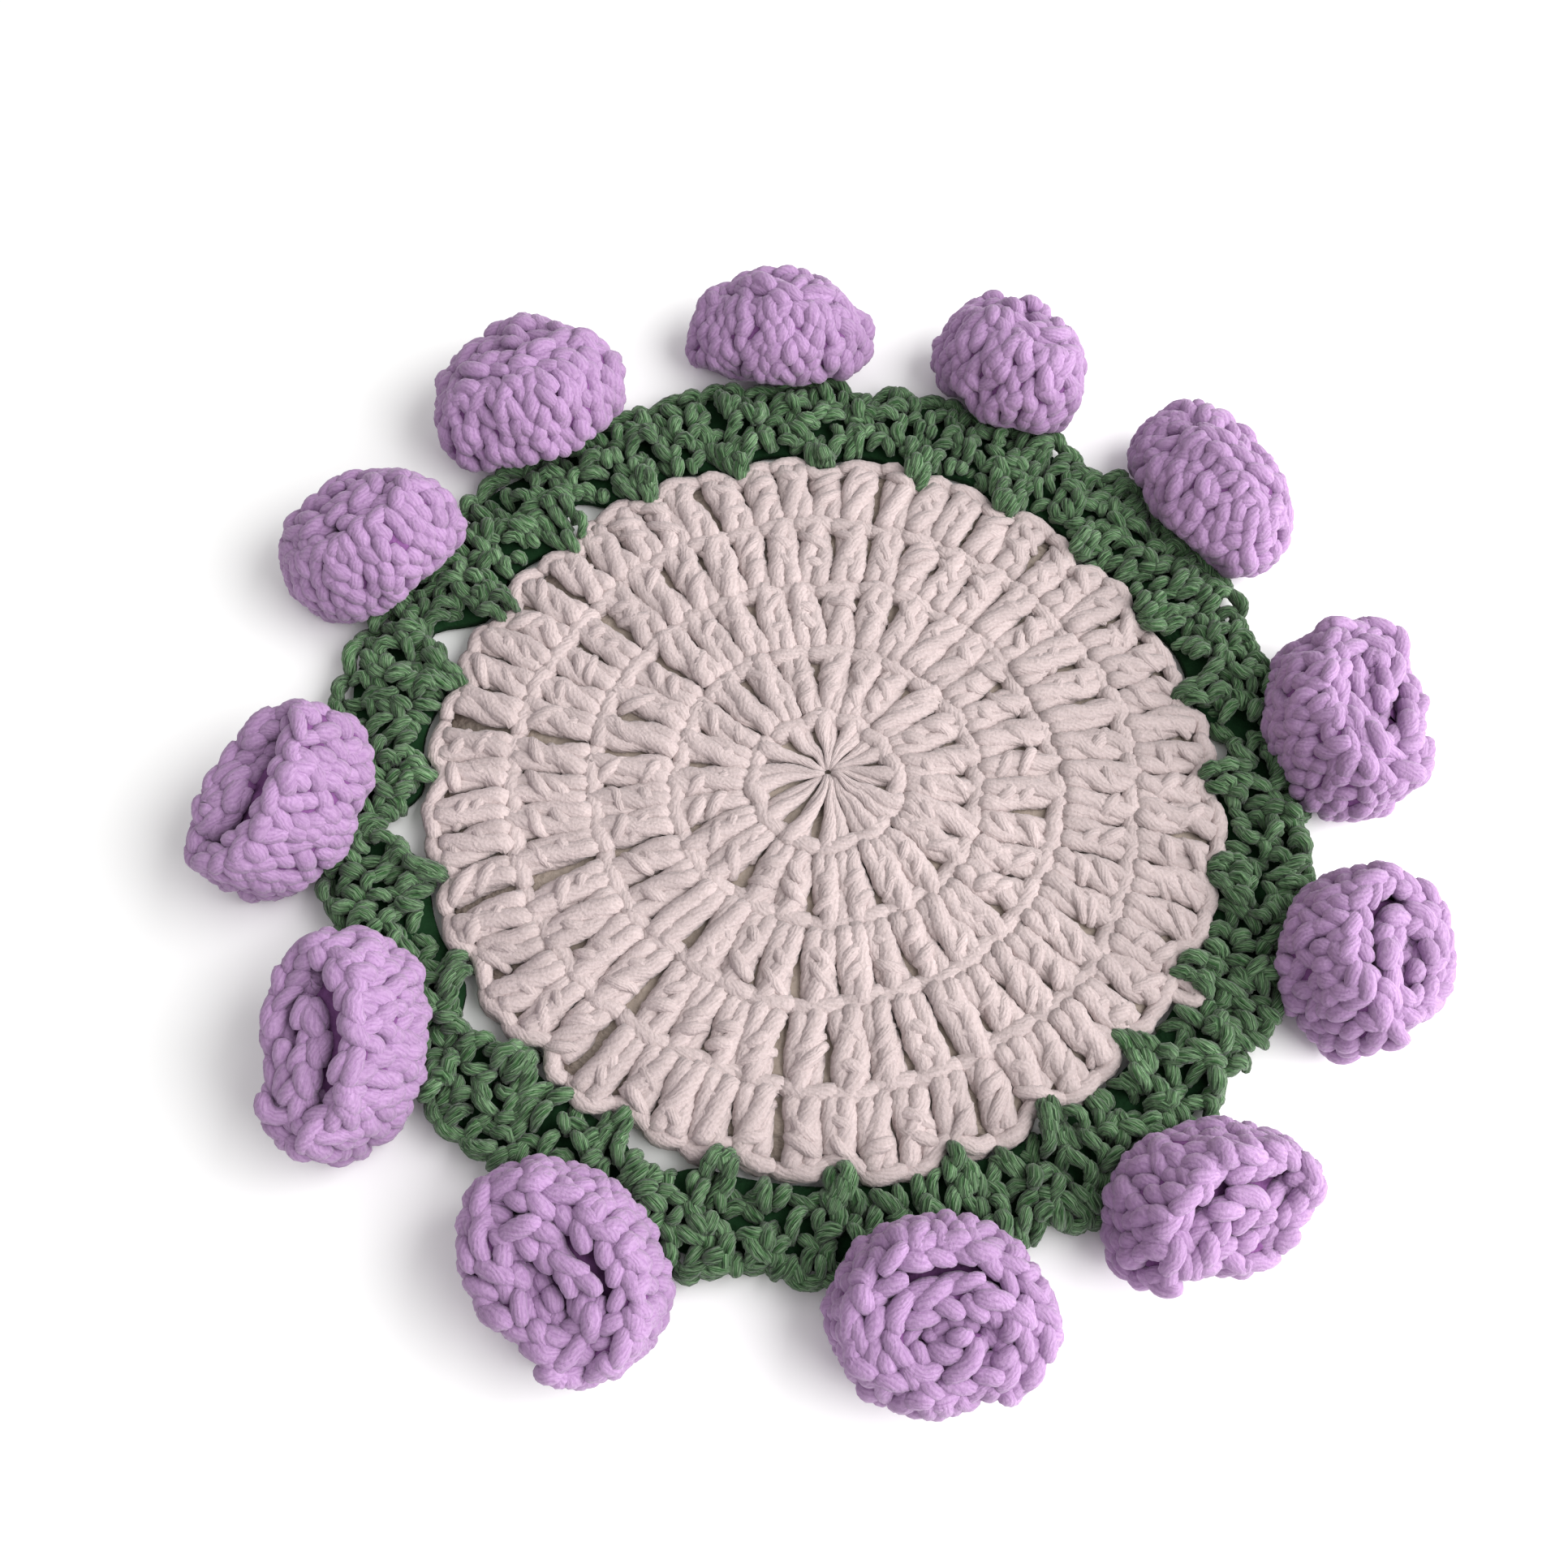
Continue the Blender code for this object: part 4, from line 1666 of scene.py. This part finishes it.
    def build_wall(self, rng: np.random.Generator) -> bpy.types.Object:
        """The stitches on the outer turn's wall: rows of Vs, two legs each.

        A leg starts low beside the stitch's middle and climbs outwards, bulging by a half sine and
        diving into the cloth at both ends. Every second row stands a third of a stitch on.

        Args:
            rng: Where the unevenness comes from.

        Returns:
            The wall's mesh object.
        """
        count = int(1.03 * self.round_length / self.stitch) + 1
        row = np.arange(self.rows)[:, None, None, None]
        number = np.arange(count)[None, :, None, None]
        side = np.array([-1.0, 1.0])[None, None, :, None]
        share = shares(8)
        shape = (self.rows, count, 2, 1)
        middle = self.length - self.stitch * (number + 0.6 - 0.3 * (row % 2))
        middle = middle + rng.normal(0.0, self.wall_stray, (self.rows, count, 1, 1))
        along = middle + side * self.stitch * (0.15 + 0.2 * share) + rng.normal(0.0, self.leg_stray, shape)
        along = self.kept(along + (share - 0.5) * rng.normal(0.0, self.leg_slant, shape))
        # The rows share nine tenths of the crest, and a leg is 1.4 rows tall, so that rows interlock.
        up = 0.03 + 0.9 / self.rows * (row - 0.2 + 1.4 * share) + rng.normal(0.0, 0.014, shape)
        lift = self.wall_bulge * np.sin(math.pi * share) - self.wall_dive
        out = self.half_thickness + (lift + rng.normal(0.0, self.leg_bob, shape))
        radii = self.wall_leg * self.leg_radius * plump(share, least=0.8) * rng.normal(1.0, 0.09, shape)
        return self.leg_object("wall", (along, up, out), radii, rng)

    def build_filling(self, rng: np.random.Generator) -> bpy.types.Object:
        """The lower stitches seen down between the turns: short strokes along the inner turns, one
        row on the strip's outer face and two in the room inside it, each lower than the last.

        Args:
            rng: Where the unevenness comes from.

        Returns:
            The filling's mesh object.
        """
        tall = self.size.height * MM
        count = max(3, int((self.length - 0.6 * self.round_length) / self.loop))
        number = np.arange(count)[:, None, None]
        row = np.arange(self.filling_rows)[None, :, None]
        share = shares(7)
        shape = (count, self.filling_rows, 1)
        along = self.loop * (number + 0.2 + 0.5 * row + 1.1 * share) + rng.normal(0.0, self.loose, shape)
        # The first row lies just over the bed, and each of the next a fifth deeper.
        deep = tall * (1.0 - self.bed) - 0.3 * MM
        up = 1.0 - (deep * (1.0 + 0.2 * row) + rng.normal(0.0, self.tight, shape)) / tall
        radii = self.filling_leg * self.leg_radius * plump(share, least=0.7) * rng.normal(1.0, 0.08, shape)
        out = self.filling_out - self.filling_step * row + rng.normal(0.0, self.tight, shape)
        return self.leg_object("filling", (along, up, out), radii, rng)

    def build_rim(self, rng: np.random.Generator) -> bpy.types.Object:
        """The loops along the strip's top edge: two rows of strokes, one to either side of the edge,
        half a loop apart and each slanting away from the edge as it goes.

        Args:
            rng: Where the unevenness comes from.

        Returns:
            The rim's mesh object.
        """
        count = int(self.length / self.loop)
        pitch = self.length / count
        share = shares(8)
        side = np.array([-1.0, 1.0])[None, :, None]
        shape = (count, 2, 1)
        middle = pitch * (np.arange(count)[:, None, None] + 0.5 + 0.25 * side)
        along = middle + 1.05 * pitch * (share - 0.5) + rng.normal(0.0, self.loose, shape)
        out = side * (self.rim_start + self.rim_opening * share) + rng.normal(0.0, self.tight, shape)
        rise = self.rim_arch * np.sin(math.pi * share) + rng.normal(0.0, self.loose, shape)
        up = self.rim_height + rise / (self.size.height * MM)
        radii = self.edge_leg * self.leg_radius * plump(share, least=0.7) * rng.normal(1.0, 0.1, shape)
        return self.leg_object("rim", (self.kept(along), up, out), radii, rng)

    def build_foot(self, rng: np.random.Generator) -> bpy.types.Object:
        """The chain that the strip was begun on, along its lower edge.

        Args:
            rng: Where each leg's tone and ply phase come from.

        Returns:
            The chain's mesh object.
        """
        count = int(self.length / self.stitch)
        pitch = self.length / count
        along, across, out = chain_legs(shares(5), pitch, self.foot_spread, self.foot_lift)
        start = pitch * np.arange(count)[:, None, None]
        up = self.foot_height - out / (self.size.height * MM)
        return self.leg_object("foot", (start + along, up, across), self.edge_leg * self.leg_radius, rng)

    def build_strip(self) -> bpy.types.Object:
        """The cloth of the strip: a thin rounded section carried along the spiral.

        Returns:
            The cloth's mesh object.
        """
        along = (self.length - self.strip_short) * shares(self.strip_points)
        up = np.array([0.04, 0.02, 0.04, 0.3, 0.6, 0.9, 0.95, 0.9, 0.6, 0.3])
        out = self.half_thickness * np.array([-0.8, 0.0, 0.8, 1.0, 1.0, 0.8, 0.0, -0.8, -1.0, -1.0])
        rings = self.settle(self.roll(along[:, None], up, out), self.cloth_clearance)
        ends = rings[[0, -1]].mean(axis=1)
        turned = rings[:, ::-1] if self.size.hand > 0 else rings
        return cloth_object(f"{self.name}_strip", turned, along, ends)

    def build_bed(self) -> bpy.types.Object:
        """The cloth packed inside the roll: a low drum that fills the outer turn up to the bed.

        Returns:
            The drum's mesh object.
        """
        round_share = np.arange(self.bed_points) / self.bed_points
        along = self.length - self.round_length * (1.0 - round_share)
        inwards = np.array([0.03, 0.5, 0.78, 0.78, 0.5, 0.03])
        up = np.array([0.3, 0.3, 0.3, self.bed - 0.06, self.bed, self.bed])
        flat = self.looked_up(along, self.path)[:, None] * inwards[:, None]
        level = self.looked_up(along, self.crest)[:, None] * up
        rings = np.concatenate([flat, level[..., None]], axis=-1)
        rings = self.settle(rings, self.cloth_clearance)
        turned = rings[:, ::-1] if self.size.hand < 0 else rings
        return cloth_object(f"{self.name}_bed", turned, along)

    def build(self, rng: np.random.Generator) -> bpy.types.Object:
        """Builds and dresses the bud.

        Args:
            rng: Where the unevenness comes from.

        Returns:
            The strip's cloth.
        """
        strip = self.build_strip()
        bed = self.build_bed()
        # The strip and the drum inside it wear painted shade, a dark lilac seen down between the turns and
        # the stitches.
        dress(strip, LILAC_PAINTED_SHADE)
        dress(bed, LILAC_PAINTED_SHADE)
        stitches = [
            self.build_wall(rng),
            self.build_filling(rng),
            self.build_rim(rng),
            self.build_foot(rng),
        ]
        for piece in stitches:
            dress(piece, LILAC_YARN)
        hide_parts(self.name)
        return strip


# ---------------------------------------------------------------------------------------------
# Light, camera and floor
# ---------------------------------------------------------------------------------------------


@dataclass(frozen=True)
class Studio:
    """Where the coaster is seen from, and its soft light: one lamp to the right and an even sky."""

    elevation: float = math.radians(64.28)
    distance: float = 222.1 * MM
    aim: tuple[float, float, float] = (-5.39 * MM, 0.55 * MM, 0.0)
    roll: float = math.radians(4.37)
    lens: float = 38.16
    sensor: float = 36.0
    nearest: float = 10.0 * MM
    key_place: tuple[float, float, float] = (360.0 * MM, -30.0 * MM, 250.0 * MM)
    key_size: float = 600.0 * MM
    key_power: float = 5.1
    sky_strength: float = 0.62
    floor_size: float = 4000.0 * MM
    floor_drop: float = 0.02 * MM

    def camera(self) -> bpy.types.Object:
        """A camera at the elevation, looking at the aim point and rolled about its own axis.

        Returns:
            The camera's object.
        """
        data = bpy.data.cameras.new("camera")
        data.lens = self.lens
        data.sensor_width = self.sensor
        data.clip_start = self.nearest
        made = bpy.data.objects.new("camera", data)
        place = Vector((0.0, -math.cos(self.elevation), math.sin(self.elevation))) * self.distance
        ahead = (Vector(self.aim) - place).normalized()
        right = ahead.cross(Vector(UPWARDS)).normalized()
        up = right.cross(ahead)
        tipped = right * math.cos(self.roll) + up * math.sin(self.roll)
        over = up * math.cos(self.roll) - right * math.sin(self.roll)
        turned = Matrix((tipped, over, -ahead)).transposed().to_4x4()
        made.matrix_world = Matrix.Translation(place) @ turned
        bpy.context.scene.collection.objects.link(made)
        bpy.context.scene.camera = made
        return made

    def lamp(self) -> bpy.types.Object:
        """A square area lamp that faces the coaster's middle.

        Returns:
            The lamp's object.
        """
        data = bpy.data.lights.new("key_light", "AREA")
        data.size = self.key_size
        data.energy = self.key_power
        made = bpy.data.objects.new("key_light", data)
        made.location = self.key_place
        made.rotation_euler = (-Vector(self.key_place)).to_track_quat("-Z", "Y").to_euler()
        bpy.context.scene.collection.objects.link(made)
        return made

    def floor(self) -> bpy.types.Object:
        """A pale floor just under the coaster, part of the stage.

        Returns:
            The floor's object.
        """
        bpy.ops.mesh.primitive_plane_add(size=self.floor_size, location=(0.0, 0.0, -self.floor_drop))
        ground = bpy.context.object
        ground.name = "floor"
        ground.data.materials.append(PaleBoard().material())
        return ground

    def world(self) -> bpy.types.World:
        """An even white sky for the fill.

        Returns:
            The world.
        """
        made = bpy.data.worlds.new("soft_white_sky")
        made.use_nodes = True
        ground = made.node_tree.nodes["Background"]
        ground.inputs["Color"].default_value = linear("#FFFFFF")
        ground.inputs["Strength"].default_value = self.sky_strength
        bpy.context.scene.world = made
        return made

    def build(self) -> None:
        """Sets up the camera, the floor, the sky and the lamp."""
        self.camera()
        self.floor()
        self.world()
        self.lamp()
        bpy.context.scene.view_settings.view_transform = "Standard"


def main() -> None:
    """Builds the stage and then the coaster's pieces in order."""
    logging.basicConfig(level=logging.INFO, format="%(name)s: %(message)s")
    rng = np.random.default_rng(HAND_SEED)
    Studio().build()
    Mat().build(rng)
    Border().build(rng)
    for number, size in enumerate(BUDS, 1):
        Rosebud(f"bud_{number:02d}", number, size).build(rng)


if __name__ == "__main__":
    main()
